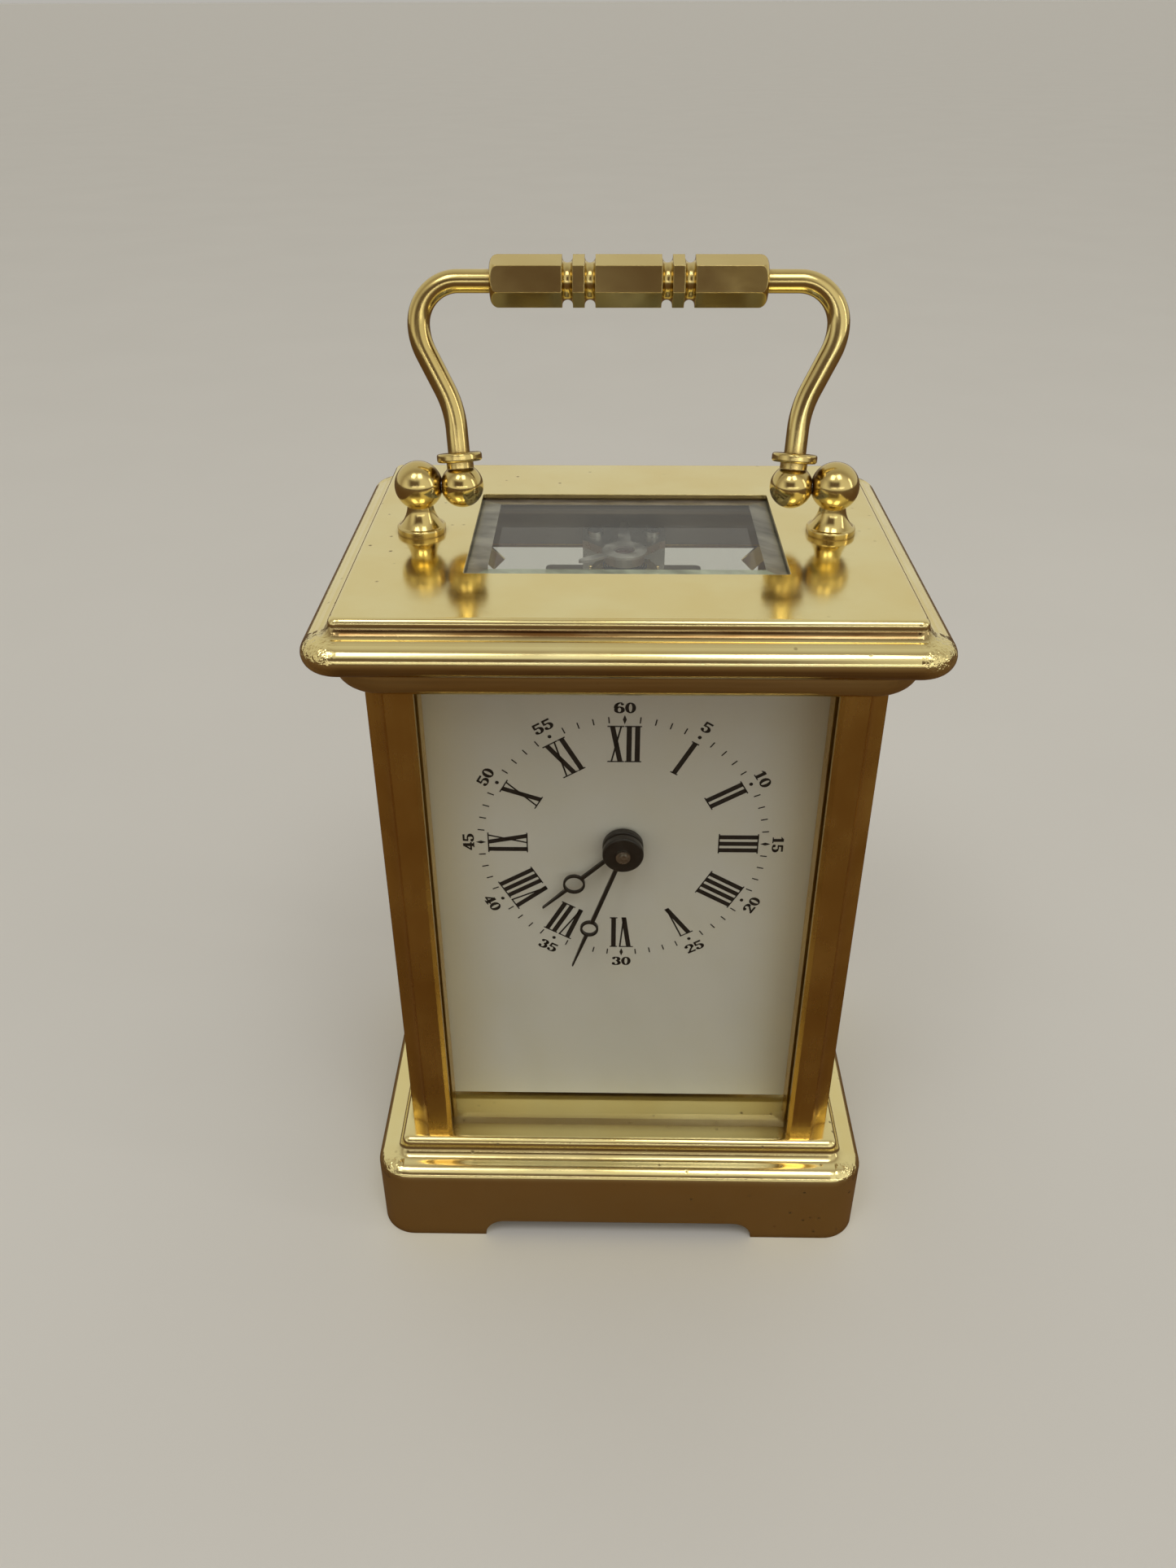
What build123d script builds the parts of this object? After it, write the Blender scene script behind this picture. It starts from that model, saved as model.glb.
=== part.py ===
from build123d import *
import os
from math import acos, atan2, cos, degrees, pi, radians, sin, sqrt, tan

# A glazed carriage clock in a corniche case, with a folding handle and a platform escapement.
# Frame: origin at the centre of the base's underside, +Z up, dial towards -Y. Millimetres.

# ---------------------------------------------------------------- driving dimensions
# Case
BASE_HALF_X = 40.0              # base, half width
BASE_HALF_Y = 32.5              # base, half depth
BASE_TOP = 18.4                 # floor that the pillars and glasses stand on
CORNICE_HALF_X = 40.7
CORNICE_HALF_Y = 33.4
CORNICE_BOTTOM = 101.9          # top of the pillars
CORNICE_TOP = 112.6
BASE_CORNER = 5.6               # plan radii of the moulded corners
CORNICE_CORNER = 5.0
BED_CORNER = 7.2
FOOT_CUT_X = 22.3               # half length of the cut-outs that leave four corner feet
FOOT_CUT_Y = 15.2
FOOT_HEIGHT = 3.4
PILLAR = 6.7                    # pillar, square
PILLAR_X = 30.95                # pillar centres
PILLAR_Y = 23.41
PILLAR_FLUTE = 2.9              # concave quarter along each pillar's outer corner
PILLAR_BEVEL = 0.6              # flat along each front pillar's inner front edge
TIE_ROD_R = 1.2
GLASS = 2.0                     # thickness of the front and side glasses
GLASS_SLOT = 1.0                # depth of the glass slots in the pillars
BEVEL_DEPTH = 0.5
FRONT_GLASS_Y = -24.3           # mid plane
SIDE_GLASS_X = 31.5
WINDOW_X = 21.5                 # half sizes of the top window
WINDOW_Y = 15.2
CAVITY_X = 27.0                 # half sizes of the hollow under the cornice
CAVITY_Y = 22.0
CAVITY_TOP = 110.2
TOP_GLASS = 1.8
TOP_BEVEL = 4.3                  # width of the bevel, part of it under the frame
GAP = 0.1                       # assembly clearance round a loose-fitted piece

# Rear door
DOOR_THICK = 3.2
DOOR_X = 27.4                   # half width
DOOR_BORDER = 4.8
DOOR_TOP_BORDER = 1.8              # the top rail is slim, so the movement is lit from behind
DOOR_Y = 25.16                  # mid plane, also the hinge line
DOOR_BOTTOM = BASE_TOP + 0.2
DOOR_TOP = CORNICE_BOTTOM - 0.2
HINGE_PIN_R = 0.6
RUNNING = 0.05                  # radial clearance of a shaft in its hole

# Handle
HANDLE_LEAN = 15.0              # degrees back from upright, at rest
PIVOT_Z = 119.2
POST_X = 28.85
POST_BALL_R = 3.35
POST_FLAT_X = 25.6              # inner flats of the post balls
HANDLE_BALL_X = 22.8
HANDLE_BALL_R = 2.97
HANDLE_FLAT_X = 25.55
ARM_R = 1.5
ARM_LEAN = 4.0                  # outward lean of an arm where it leaves its ball
ARM_SPREAD = 27.0               # and further up
COLLAR_R = 3.1
COLLAR_LOW = 3.2
COLLAR_HIGH = 4.4
TENON_R = 1.0
GRIP_LIFT = 26.35               # grip axis above the pivot line, handle upright
GRIP_HALF = 18.3
GRIP_CORNER_R = 3.3             # hexagon, centre to corner
PIVOT_PIN_R = 0.85

# Dial and hands
CENTRE_Z = 71.6
DIAL_FRONT = -18.5
DIAL_THICK = 1.0
DIAL_HALF_X = 29.8
DIAL_BOTTOM = 19.3
DIAL_TOP = 101.7
HOUR_HAND_ANGLE = 226.6         # clockwise from 12
MINUTE_HAND_ANGLE = 199.5
HAND_THICK = 0.5
HAND_BOSS_R = 3.0

# Movement
PLATE_THICK = 1.8
FRONT_PLATE_Y = -11.2           # inner face
BACK_PLATE_Y = 12.0             # inner face
PLATE_HALF_X = 22.0
PLATE_BOTTOM = 19.0
PLATE_TOP = 97.0
PLATFORM_THICK = 1.6
PLATFORM_HALF_X = 12.5
PLATFORM_FRONT = -14.0
PLATFORM_BACK = 21.4
BALANCE_Y = 9.5
ESCAPE_Y = -0.7
LEVER_Y = 3.65
SEAT_X = 16.0                   # the two bars that the movement stands on
SEAT_WIDTH = 5.6
SEAT_HEIGHT = 5.4

PRESSURE_ANGLE = radians(25)
ARBOR_R = 0.75
PIVOT_R = 0.5
MINUTE_POST_R = 0.7
CLICK_STUD_R = 0.9


# ---------------------------------------------------------------- helpers
def box_between(x0, x1, y0, y1, z0, z1):
    return Pos((x0 + x1) / 2, (y0 + y1) / 2, (z0 + z1) / 2) * Box(x1 - x0, y1 - y0, z1 - z0)


def rounded_block(half_x, half_y, z0, z1, radius):
    outline = RectangleRounded(2 * half_x, 2 * half_y, radius)
    return Pos(0, 0, z0) * extrude(outline, z1 - z0)


def rod_z(x, y, z0, z1, radius):
    return Pos(x, y, z0) * extrude(Circle(radius), z1 - z0)


def facing(x, y, z):
    """A plane whose local x and y are the frame's x and z, looking out of the dial."""
    return Plane(origin=(x, y, z), x_dir=(1, 0, 0), z_dir=(0, -1, 0))


def rod_y(x, z, y0, y1, radius):
    return extrude(facing(x, y1, z) * Circle(radius), y1 - y0)


def rod_x(y, z, x0, x1, radius):
    section = Plane(origin=(x0, y, z), x_dir=(0, 1, 0), z_dir=(1, 0, 0)) * Circle(radius)
    return extrude(section, x1 - x0)


def layer_y(sketch, x, z, y0, y1, turn=0.0):
    """A flat sketch, drawn as seen from the dial side, as a plate from y0 to y1."""
    return extrude(facing(x, y1, z) * Rot(0, 0, turn) * sketch, y1 - y0)


def group(solids):
    return Compound(children=[s if isinstance(s, Solid) else s.solids()[0] for s in solids])


def bow(across, along, radius, start, end):
    """A circular arc about (across, along), from one angle to another in degrees, as three points."""
    spots = []
    for angle in (start, (start + end) / 2, end):
        spots.append((across + radius * cos(radians(angle)), along + radius * sin(radians(angle))))
    return spots


def outline_face(items, place=lambda a, b: (a, b)):
    """A closed face. An item is a corner point, or the three points of an arc."""
    edges = []
    ends = []
    for item in items:
        spots = [place(*spot) for spot in (item if isinstance(item, list) else [item])]
        if len(spots) == 3:
            edges.append(ThreePointArc(*spots))
        ends.append((spots[0], spots[-1]))
    for i, (first, last) in enumerate(ends):
        start = ends[i - 1][1]
        if (Vector(*start) - Vector(*first)).length > 1e-6:
            edges.append(Line(start, first))
    return make_face(Wire(edges))


def moulded_slab(steps, half_x, half_y, corner):
    """A slab with a moulded edge. The steps outline it from the corner axis outwards, as y and z."""
    cx = half_x - corner
    cy = half_y - corner
    profile = outline_face(steps, lambda y, z: (y - cy, 0, z))
    box = profile.bounding_box()
    slab = box_between(-cx, cx, -cy, cy, box.min.Z, box.max.Z)
    side_x = extrude(Pos(cx, cy, 0) * profile, 2 * cy, dir=(0, -1, 0))
    side_y = extrude(Pos(cx, cy, 0) * Rot(0, 0, 90) * profile, 2 * cx, dir=(-1, 0, 0))
    corner = revolve(profile, Axis.Z, 90)
    for side in (side_x, side_y):
        slab += side
        slab += Rot(0, 0, 180) * side
    for sx, sy, turn in ((1, 1, 0), (-1, 1, 90), (-1, -1, 180), (1, -1, 270)):
        slab += Pos(sx * cx, sy * cy, 0) * Rot(0, 0, turn) * corner
    return slab


def screw(head_r, head_h, shank_r, length):
    """A cheese-head screw: head upwards from z = 0, shank downwards."""
    body = extrude(Circle(head_r), head_h) + extrude(Circle(shank_r), -length)
    return body - Pos(0, 0, head_h) * Box(3 * head_r, 0.22 * head_r, 0.8 * head_h)


def bevelled_glass(width, height, thick, bevel):
    """A glass lying flat, back face on z = 0, with a bevel round its upper face."""
    edge = extrude(Rectangle(width, height), thick - BEVEL_DEPTH)
    low = Pos(0, 0, thick - BEVEL_DEPTH) * Rectangle(width, height)
    high = Pos(0, 0, thick) * Rectangle(width - 2 * bevel, height - 2 * bevel)
    return edge + loft([low, high], ruled=True)


# ---------------------------------------------------------------- gears
def gear_sketch(teeth, module, bore=0.0, thickness=0.44):
    """Involute teeth, the first centred on local x. thickness is the tooth's share of the pitch."""
    pitch_r = module * teeth / 2
    base_r = pitch_r * cos(PRESSURE_ANGLE)
    tip_r = pitch_r + 0.9 * module
    root_r = pitch_r - 1.2 * module
    half_pitch = pi * thickness / teeth

    def involute(r):
        a = acos(min(1.0, base_r / r))
        return tan(a) - a

    def half_angle(r):
        return half_pitch + involute(pitch_r) - involute(max(r, base_r))

    radii = (root_r, pitch_r, tip_r)
    points = []
    for i in range(teeth):
        middle = 2 * pi * i / teeth
        flank = [(r, half_angle(r)) for r in radii]
        for r, a in flank:
            points.append((r * cos(middle - a), r * sin(middle - a)))
        for r, a in reversed(flank):
            points.append((r * cos(middle + a), r * sin(middle + a)))
    sketch = make_face(Polyline(points, close=True))
    if bore:
        sketch -= Circle(bore)
    return sketch


def crossings(hub_r, rim_r, spokes, width):
    """The openings between a wheel's spokes."""
    ring = Circle(rim_r) - Circle(hub_r)
    for i in range(spokes):
        ring -= Rot(0, 0, 360 * i / spokes) * Pos(rim_r / 2, 0) * Rectangle(rim_r + 1, width)
    return ring


def mesh_phase(alpha, teeth_a, phase_a, teeth_b):
    """Phase of gear b, in radians, that meshes with gear a; alpha points from a to b."""
    share = (alpha - phase_a) * teeth_a / (2 * pi)
    return alpha + pi - (0.5 - share) * 2 * pi / teeth_b


class Arbor:
    """A train axis at (x, z) that carries a wheel and a pinion."""

    def __init__(self, x, z):
        self.x = x
        self.z = z

    def towards(self, other):
        return atan2(other.z - self.z, other.x - self.x)

    def at(self, distance, angle):
        return Arbor(self.x + distance * cos(radians(angle)), self.z + distance * sin(radians(angle)))


# Tooth counts and modules of the train, from the barrel to the contrate wheel
PINION_TEETH = 12
BARREL_TEETH, BARREL_MODULE = 72, 0.5
INTER_TEETH, INTER_MODULE = 60, 0.4
CENTRE_TEETH, CENTRE_MODULE = 84, 0.3
THIRD_TEETH, THIRD_MODULE = 72, 0.25
CONTRATE_TEETH = 80
CONTRATE_R = 6.6
MINUTE_TEETH, MINUTE_MODULE = 36, 0.35
HOUR_TEETH, HOUR_MODULE = 48, 0.28
RATCHET_TEETH = 24
RATCHET_R = 6.5

centre = Arbor(0.0, CENTRE_Z)
inter = centre.at((INTER_TEETH + PINION_TEETH) * INTER_MODULE / 2, -119.0)
barrel_axis = inter.at((BARREL_TEETH + PINION_TEETH) * BARREL_MODULE / 2, -64.7)
third = centre.at((CENTRE_TEETH + PINION_TEETH) * CENTRE_MODULE / 2, 51.32)
third_reach = (THIRD_TEETH + PINION_TEETH) * THIRD_MODULE / 2
contrate = Arbor(0.0, third.z + sqrt(third_reach ** 2 - third.x ** 2))
minute = centre.at((MINUTE_TEETH + PINION_TEETH) * MINUTE_MODULE / 2, -135.0)


def wheel_and_arbor(axis, wheel, wheel_y, pinion, pinion_y, ends, turn=0.0, pinion_turn=0.0):
    """A crossed-out wheel, its pinion, and an arbor with a thin pivot at each end."""
    solid = layer_y(wheel, axis.x, axis.z, wheel_y[0], wheel_y[1], degrees(turn))
    solid += layer_y(pinion, axis.x, axis.z, pinion_y[0], pinion_y[1], degrees(pinion_turn))
    solid += rod_y(axis.x, axis.z, ends[0], ends[1], ARBOR_R)
    solid += rod_y(axis.x, axis.z, FRONT_PLATE_Y - 1.5, BACK_PLATE_Y + 1.5, PIVOT_R)
    return solid


# ---------------------------------------------------------------- case
def base():
    top = BASE_TOP
    inset = BASE_HALF_Y - BASE_CORNER
    ovolo_r = 2.3
    ovolo_y = BASE_HALF_Y - ovolo_r
    solid = moulded_slab([
        (inset, 0), (BASE_HALF_Y, 0),
        bow(ovolo_y, top - 5.4, ovolo_r, 0, 90),
        bow(ovolo_y, top - 1.3, 1.8, 270, 180),
        bow(27.2, top - 1.2, 1.2, 0, 90),
        (inset, top),
    ], BASE_HALF_X, BASE_HALF_Y, BASE_CORNER)
    round_r = FOOT_HEIGHT - 0.2
    for half, turn in ((FOOT_CUT_X, 0), (FOOT_CUT_Y, 90)):
        cut = box_between(-half, half, -50, 50, -1, FOOT_HEIGHT)
        cut = fillet(cut.edges().filter_by(Axis.Y).group_by(Axis.Z)[-1], round_r)
        solid -= Rot(0, 0, turn) * cut
    for sx in (1, -1):
        for sy in (1, -1):
            solid -= rod_z(sx * PILLAR_X, sy * PILLAR_Y, -1, BASE_TOP + 1, TIE_ROD_R + GAP)
            solid -= rod_z(sx * PILLAR_X, sy * PILLAR_Y, -1, 3.0, 2.6)
            solid -= rod_z(sx * SEAT_X, sy * 6.0, FOOT_HEIGHT - 1, BASE_TOP + 1, 1.1)
            solid -= rod_z(sx * SEAT_X, sy * 6.0, FOOT_HEIGHT - 1, 6.0, 2.3)
    solid -= rod_z(DOOR_X - DOOR_THICK / 2, DOOR_Y, BASE_TOP - 1.6, BASE_TOP + 1, HINGE_PIN_R)
    return solid


def top_frame():
    low = CORNICE_BOTTOM
    high = CORNICE_TOP
    bed_r = 2.2
    bed_y = 30.46
    bed_x = bed_y + CORNICE_HALF_X - CORNICE_HALF_Y
    shelf_z = 105.3
    roll_r = 2.1
    cove_r = 1.45
    cove_y = 31.05
    lip_r = 0.8
    inset = bed_y - BED_CORNER
    solid = moulded_slab([
        (inset, low),
        bow(bed_y - bed_r, low + bed_r, bed_r, -90, 0),
        (bed_y, shelf_z + GAP), (inset, shelf_z + GAP),
    ], bed_x, bed_y, BED_CORNER)
    inset = CORNICE_HALF_Y - CORNICE_CORNER
    solid += moulded_slab([
        (inset, shelf_z), (bed_y - GAP, shelf_z),
        bow(CORNICE_HALF_Y - roll_r, 108.0, roll_r, -70, 80),
        bow(cove_y, high - lip_r, cove_r, 270, 180),
        bow(cove_y - cove_r - lip_r, high - lip_r, lip_r, 0, 90),
        (inset, high),
    ], CORNICE_HALF_X, CORNICE_HALF_Y, CORNICE_CORNER)
    solid -= rounded_block(CAVITY_X, CAVITY_Y, low - 1, CAVITY_TOP, 2.0)
    solid -= rounded_block(WINDOW_X, WINDOW_Y, CAVITY_TOP - 1, high + 1, 0.4)
    solid -= rounded_block(WINDOW_X + 1.5, WINDOW_Y + 1.5, CAVITY_TOP - 1, CAVITY_TOP + TOP_GLASS, 0.4)
    for sx in (1, -1):
        solid -= rod_z(sx * POST_X, 0, high - 6.0, high + 1, 1.5)
        for sy in (1, -1):
            solid -= rod_z(sx * PILLAR_X, sy * PILLAR_Y, low - 1, low + 4.6, TIE_ROD_R)
    solid -= rod_z(DOOR_X - DOOR_THICK / 2, DOOR_Y, low - 1, low + 1.6, HINGE_PIN_R)
    return solid


def top_glass():
    return Pos(0, 0, CAVITY_TOP) * bevelled_glass(
        2 * WINDOW_X + 3 - 2 * GAP, 2 * WINDOW_Y + 3 - 2 * GAP, TOP_GLASS, TOP_BEVEL)


def top_glass_retainer():
    ring = RectangleRounded(2 * WINDOW_X + 7, 2 * WINDOW_Y + 7, 1.5) - Rectangle(2 * WINDOW_X, 2 * WINDOW_Y)
    return Pos(0, 0, CAVITY_TOP - 0.7) * extrude(ring, 0.7)


def pillar(sx, sy):
    """One corner pillar. It is drawn at the +x, +y corner and mirrored into place."""
    half = PILLAR / 2
    section = Pos(PILLAR_X, PILLAR_Y) * Rectangle(PILLAR, PILLAR)
    section -= Pos(PILLAR_X + half, PILLAR_Y + half) * Circle(PILLAR_FLUTE)
    section -= Pos(PILLAR_X, PILLAR_Y) * Circle(TIE_ROD_R + GAP)
    if sy < 0:
        cut = 2**0.5 * PILLAR_BEVEL
        section -= Pos(PILLAR_X - half, PILLAR_Y + half) * Rot(0, 0, 45) * Rectangle(cut, cut)
        section -= Pos(PILLAR_X - half, -FRONT_GLASS_Y) * Rectangle(2 * GLASS_SLOT, GLASS + 2 * GAP)
    section -= Pos(SIDE_GLASS_X, PILLAR_Y - half) * Rectangle(GLASS + 2 * GAP, 2 * GLASS_SLOT)
    solid = Pos(0, 0, BASE_TOP) * extrude(section, CORNICE_BOTTOM - BASE_TOP)
    if sx < 0:
        solid = mirror(solid, Plane.YZ)
    if sy < 0:
        solid = mirror(solid, Plane.XZ)
    return solid


def pillar_tie_rods():
    rods = []
    for sx in (1, -1):
        for sy in (1, -1):
            rod = Pos(0, 0, 3.0) * Rot(180, 0, 0) * screw(2.4, 1.6, TIE_ROD_R, CORNICE_BOTTOM + 4.4 - 3.0)
            rods.append(Pos(sx * PILLAR_X, sy * PILLAR_Y, 0) * rod)
    return group(rods)


def upright_glass(span):
    return bevelled_glass(span, CORNICE_BOTTOM - BASE_TOP - 2 * GAP, GLASS, 3.3)


def front_glass():
    span = 2 * (PILLAR_X - PILLAR / 2 + GLASS_SLOT - 2 * GAP)
    middle = (BASE_TOP + CORNICE_BOTTOM) / 2
    return facing(0, FRONT_GLASS_Y + GLASS / 2, middle) * upright_glass(span)


def side_glass(side):
    span = 2 * (PILLAR_Y - PILLAR / 2 + GLASS_SLOT - 2 * GAP)
    middle = (BASE_TOP + CORNICE_BOTTOM) / 2
    plane = Plane(origin=(side * (SIDE_GLASS_X - GLASS / 2), 0, middle), x_dir=(0, side, 0), z_dir=(side, 0, 0))
    return plane * upright_glass(span)


# ---------------------------------------------------------------- rear door
DOOR_MIDDLE = (DOOR_BOTTOM + DOOR_TOP) / 2
DOOR_OPEN_X = DOOR_X - DOOR_BORDER
DOOR_OPEN_LOW = DOOR_BOTTOM + DOOR_BORDER
DOOR_OPEN_HIGH = DOOR_TOP - DOOR_TOP_BORDER
DOOR_GLASS = 1.5
HINGE_X = DOOR_X - DOOR_THICK / 2


def rear_door_frame():
    half = DOOR_THICK / 2
    plate = box_between(-DOOR_X, HINGE_X, DOOR_Y - half, DOOR_Y + half, DOOR_BOTTOM, DOOR_TOP)
    plate += rod_z(HINGE_X, DOOR_Y, DOOR_BOTTOM, DOOR_TOP, half)
    plate -= box_between(-DOOR_OPEN_X, DOOR_OPEN_X, DOOR_Y - 5, DOOR_Y + 5, DOOR_OPEN_LOW, DOOR_OPEN_HIGH)
    step = 1.2
    plate -= box_between(-DOOR_OPEN_X - step, DOOR_OPEN_X + step, DOOR_Y - 5, DOOR_Y - half + DOOR_GLASS + 0.5,
                         DOOR_OPEN_LOW - step, DOOR_OPEN_HIGH + step)
    for z0, z1 in ((DOOR_BOTTOM - 1, DOOR_BOTTOM + 2.2), (DOOR_TOP - 2.2, DOOR_TOP + 1)):
        plate -= rod_z(HINGE_X, DOOR_Y, z0, z1, HINGE_PIN_R + RUNNING)
    plate -= rod_y(-DOOR_X + 2.4, DOOR_MIDDLE, DOOR_Y - 5, DOOR_Y + 5, 0.8)
    return plate


def rear_door_glass():
    width = 2 * (DOOR_OPEN_X + 1.2 - GAP)
    edge = 1.2 - GAP
    back = DOOR_Y - DOOR_THICK / 2 + DOOR_GLASS + 0.5
    return box_between(-width / 2, width / 2, back - DOOR_GLASS, back, DOOR_OPEN_LOW - edge, DOOR_OPEN_HIGH + edge)


def rear_glass_clips():
    """Four small tabs across the corners, that hold the glass into the door."""
    clips = []
    inner = DOOR_Y - DOOR_THICK / 2
    for sx in (1, -1):
        for sz, corner_z in ((1, DOOR_OPEN_HIGH), (-1, DOOR_OPEN_LOW)):
            tab = box_between(-1.3, 1.3, inner, inner + 0.5, -3.2, 3.2)
            tab = Rot(0, sx * sz * 45, 0) * tab
            clips.append(Pos(sx * DOOR_OPEN_X, 0, corner_z) * tab)
    edge = box_between(-DOOR_OPEN_X - 1.1, DOOR_OPEN_X + 1.1, inner - 1, inner + 1,
                       DOOR_OPEN_LOW - 1.1, DOOR_OPEN_HIGH + 1.1)
    return group([clip & edge for clip in clips])


def rear_door_hinge_pins():
    pins = [rod_z(HINGE_X, DOOR_Y, BASE_TOP - 1.5, DOOR_BOTTOM + 2.0, HINGE_PIN_R),
            rod_z(HINGE_X, DOOR_Y, DOOR_TOP - 2.0, CORNICE_BOTTOM + 1.5, HINGE_PIN_R)]
    return group(pins)


def rear_door_knob():
    outer = DOOR_Y + DOOR_THICK / 2
    ball = 1.7
    join = degrees(acos(0.8 / ball))
    profile = outline_face([(0, 0), (0.8, 0), bow(0, 4.4, ball, -join, 90)])
    knob = revolve(profile, Axis.Y, 360)
    return Pos(-DOOR_X + 2.4, outer - 2.0, DOOR_MIDDLE) * knob


# ---------------------------------------------------------------- handle
def handle_post(side):
    """Foot, waisted neck and ball, turned in one piece, with a stud into the cornice."""
    ball_z = PIVOT_Z - CORNICE_TOP
    join = -57.0
    low = (POST_BALL_R * cos(radians(join)), ball_z + POST_BALL_R * sin(radians(join)))
    profile = outline_face([
        (0, -5.8), (1.5, -5.8), (1.5, 0), (3.45, 0),
        bow(3.15, 0.7, 0.3, 0, 90),
        [(3.05, 1.05), (2.3, 2.1), low],
        bow(0, ball_z, POST_BALL_R, join, 90),
    ])
    post = Pos(side * POST_X, 0, CORNICE_TOP) * Rot(90, 0, 0) * revolve(profile, Axis.Y, 360)
    inward = box_between(0, POST_FLAT_X, -9, 9, PIVOT_Z - 9, PIVOT_Z + 9)
    post -= inward if side > 0 else mirror(inward, Plane.YZ)
    ends = sorted((side * 24.0, side * 27.7))
    return post - rod_x(0, PIVOT_Z, ends[0], ends[1], PIVOT_PIN_R)


def handle_pivot_pins():
    pins = [rod_x(0, PIVOT_Z, 24.2, 27.6, PIVOT_PIN_R), rod_x(0, PIVOT_Z, -27.6, -24.2, PIVOT_PIN_R)]
    return group(pins)


def lean_back(solid, side=1):
    """Put a piece, drawn on the +x side about the pivot line, into the handle's rest pose."""
    if side < 0:
        solid = mirror(solid, Plane.YZ)
    return Pos(0, 0, PIVOT_Z) * Rot(-HANDLE_LEAN, 0, 0) * solid


def handle_ball(side):
    """Pivot ball with a short neck and a disc collar, bored for the arm and for the pivot pin."""
    turned = Sphere(HANDLE_BALL_R) + rod_z(0, 0, 0, COLLAR_LOW + 0.5, 1.85)
    collar = rod_z(0, 0, COLLAR_LOW, COLLAR_HIGH, COLLAR_R)
    turned += fillet(collar.edges().filter_by(GeomType.CIRCLE), 0.35)
    turned -= rod_z(0, 0, 1.2, COLLAR_HIGH + 1, TENON_R)
    ball = Pos(HANDLE_BALL_X, 0, 0) * Rot(0, ARM_LEAN, 0) * turned
    ball -= box_between(HANDLE_FLAT_X, HANDLE_FLAT_X + 2, -1.5, 1.5, -1.5, 1.5)
    ball -= rod_x(0, 0, 23.9, HANDLE_FLAT_X + 1, PIVOT_PIN_R + RUNNING)
    return lean_back(ball, side)


def handle_arm(side):
    """A round bar that runs up from the collar, spreads, turns upright and bends in to the grip."""
    lean = radians(ARM_LEAN)
    spread = radians(ARM_SPREAD)
    start = Vector(HANDLE_BALL_X, 0, 0) + Vector(sin(lean), 0, cos(lean)) * COLLAR_HIGH
    low = Line(start, start + Vector(sin(lean), 0, cos(lean)) * 3.1)
    view = Plane(origin=(0, 0, 0), x_dir=(1, 0, 0), z_dir=(0, -1, 0))

    def bend(after, radius, sweep):
        point = view.to_local_coords(after @ 1)
        heading = view.to_local_coords(after @ 1 + after % 1) - point
        return view * JernArc((point.X, point.Y), (heading.X, heading.Y), radius, sweep)

    out = bend(low, 13.6, ARM_LEAN - ARM_SPREAD)
    rise = Line(out @ 1, out @ 1 + Vector(sin(spread), 0, cos(spread)) * 5.2)
    back = bend(rise, 8.0, ARM_SPREAD)
    top_r = GRIP_LIFT - (back @ 1).Z
    over = bend(back, top_r, 90)
    along = Line(over @ 1, Vector(GRIP_HALF, 0, GRIP_LIFT))
    path = Wire([low, out, rise, back, over, along])
    section = Plane(origin=start, z_dir=low % 0) * Circle(ARM_R)
    arm = sweep(section, path=path)
    tenon = Pos(HANDLE_BALL_X, 0, 0) * Rot(0, ARM_LEAN, 0) * rod_z(0, 0, 1.4, COLLAR_HIGH, TENON_R)
    arm += tenon + rod_x(0, GRIP_LIFT, GRIP_HALF - 4.0, GRIP_HALF, TENON_R)
    return lean_back(arm, side)


def handle_grip():
    """Hexagonal bar with two turned grooves each side of its middle, flats to front and back."""
    plane = Plane(origin=(-GRIP_HALF, 0, GRIP_LIFT), x_dir=(0, 0, 1), z_dir=(1, 0, 0))
    bar = extrude(plane * RegularPolygon(GRIP_CORNER_R, 6), 2 * GRIP_HALF)
    end_r = 1.1
    rim = GRIP_CORNER_R - end_r
    outline = outline_face([
        (-GRIP_HALF, 0),
        bow(end_r - GRIP_HALF, rim, end_r, 180, 90),
        bow(GRIP_HALF - end_r, rim, end_r, 90, 0),
        (GRIP_HALF, 0),
    ])
    envelope = revolve(outline, Axis.X, 360)
    groove_r = 0.71
    for x in (5.08, 8.06):
        for sx in (1, -1):
            cut = Pos(sx * x, 3.0) * (Circle(groove_r) + Pos(0, 0.5) * Rectangle(2 * groove_r, 1.0))
            envelope -= revolve(cut, Axis.X, 360)
    bar &= Pos(0, 0, GRIP_LIFT) * envelope
    for sx in (1, -1):
        ends = sorted((sx * (GRIP_HALF - 4.2), sx * (GRIP_HALF + 1)))
        bar -= rod_x(0, GRIP_LIFT, ends[0], ends[1], TENON_R)
    return lean_back(bar)


# ---------------------------------------------------------------- dial and hands
DIAL_FEET = [(sx * 16.0, CENTRE_Z + dz) for sx in (1, -1) for dz in (-32.0, 22.0)]


def dial():
    """Flat sheet with four feet riveted behind it, that plug into the front plate."""
    middle = (DIAL_BOTTOM + DIAL_TOP) / 2
    sheet = Rectangle(2 * DIAL_HALF_X, DIAL_TOP - DIAL_BOTTOM) - Pos(0, CENTRE_Z - middle) * Circle(2.4)
    solid = layer_y(sheet, 0, middle, DIAL_FRONT, DIAL_FRONT + DIAL_THICK)
    for x, z in DIAL_FEET:
        solid += rod_y(x, z, DIAL_FRONT + DIAL_THICK / 2, FRONT_PLATE_Y - 0.2, 0.9)
    return solid


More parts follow.
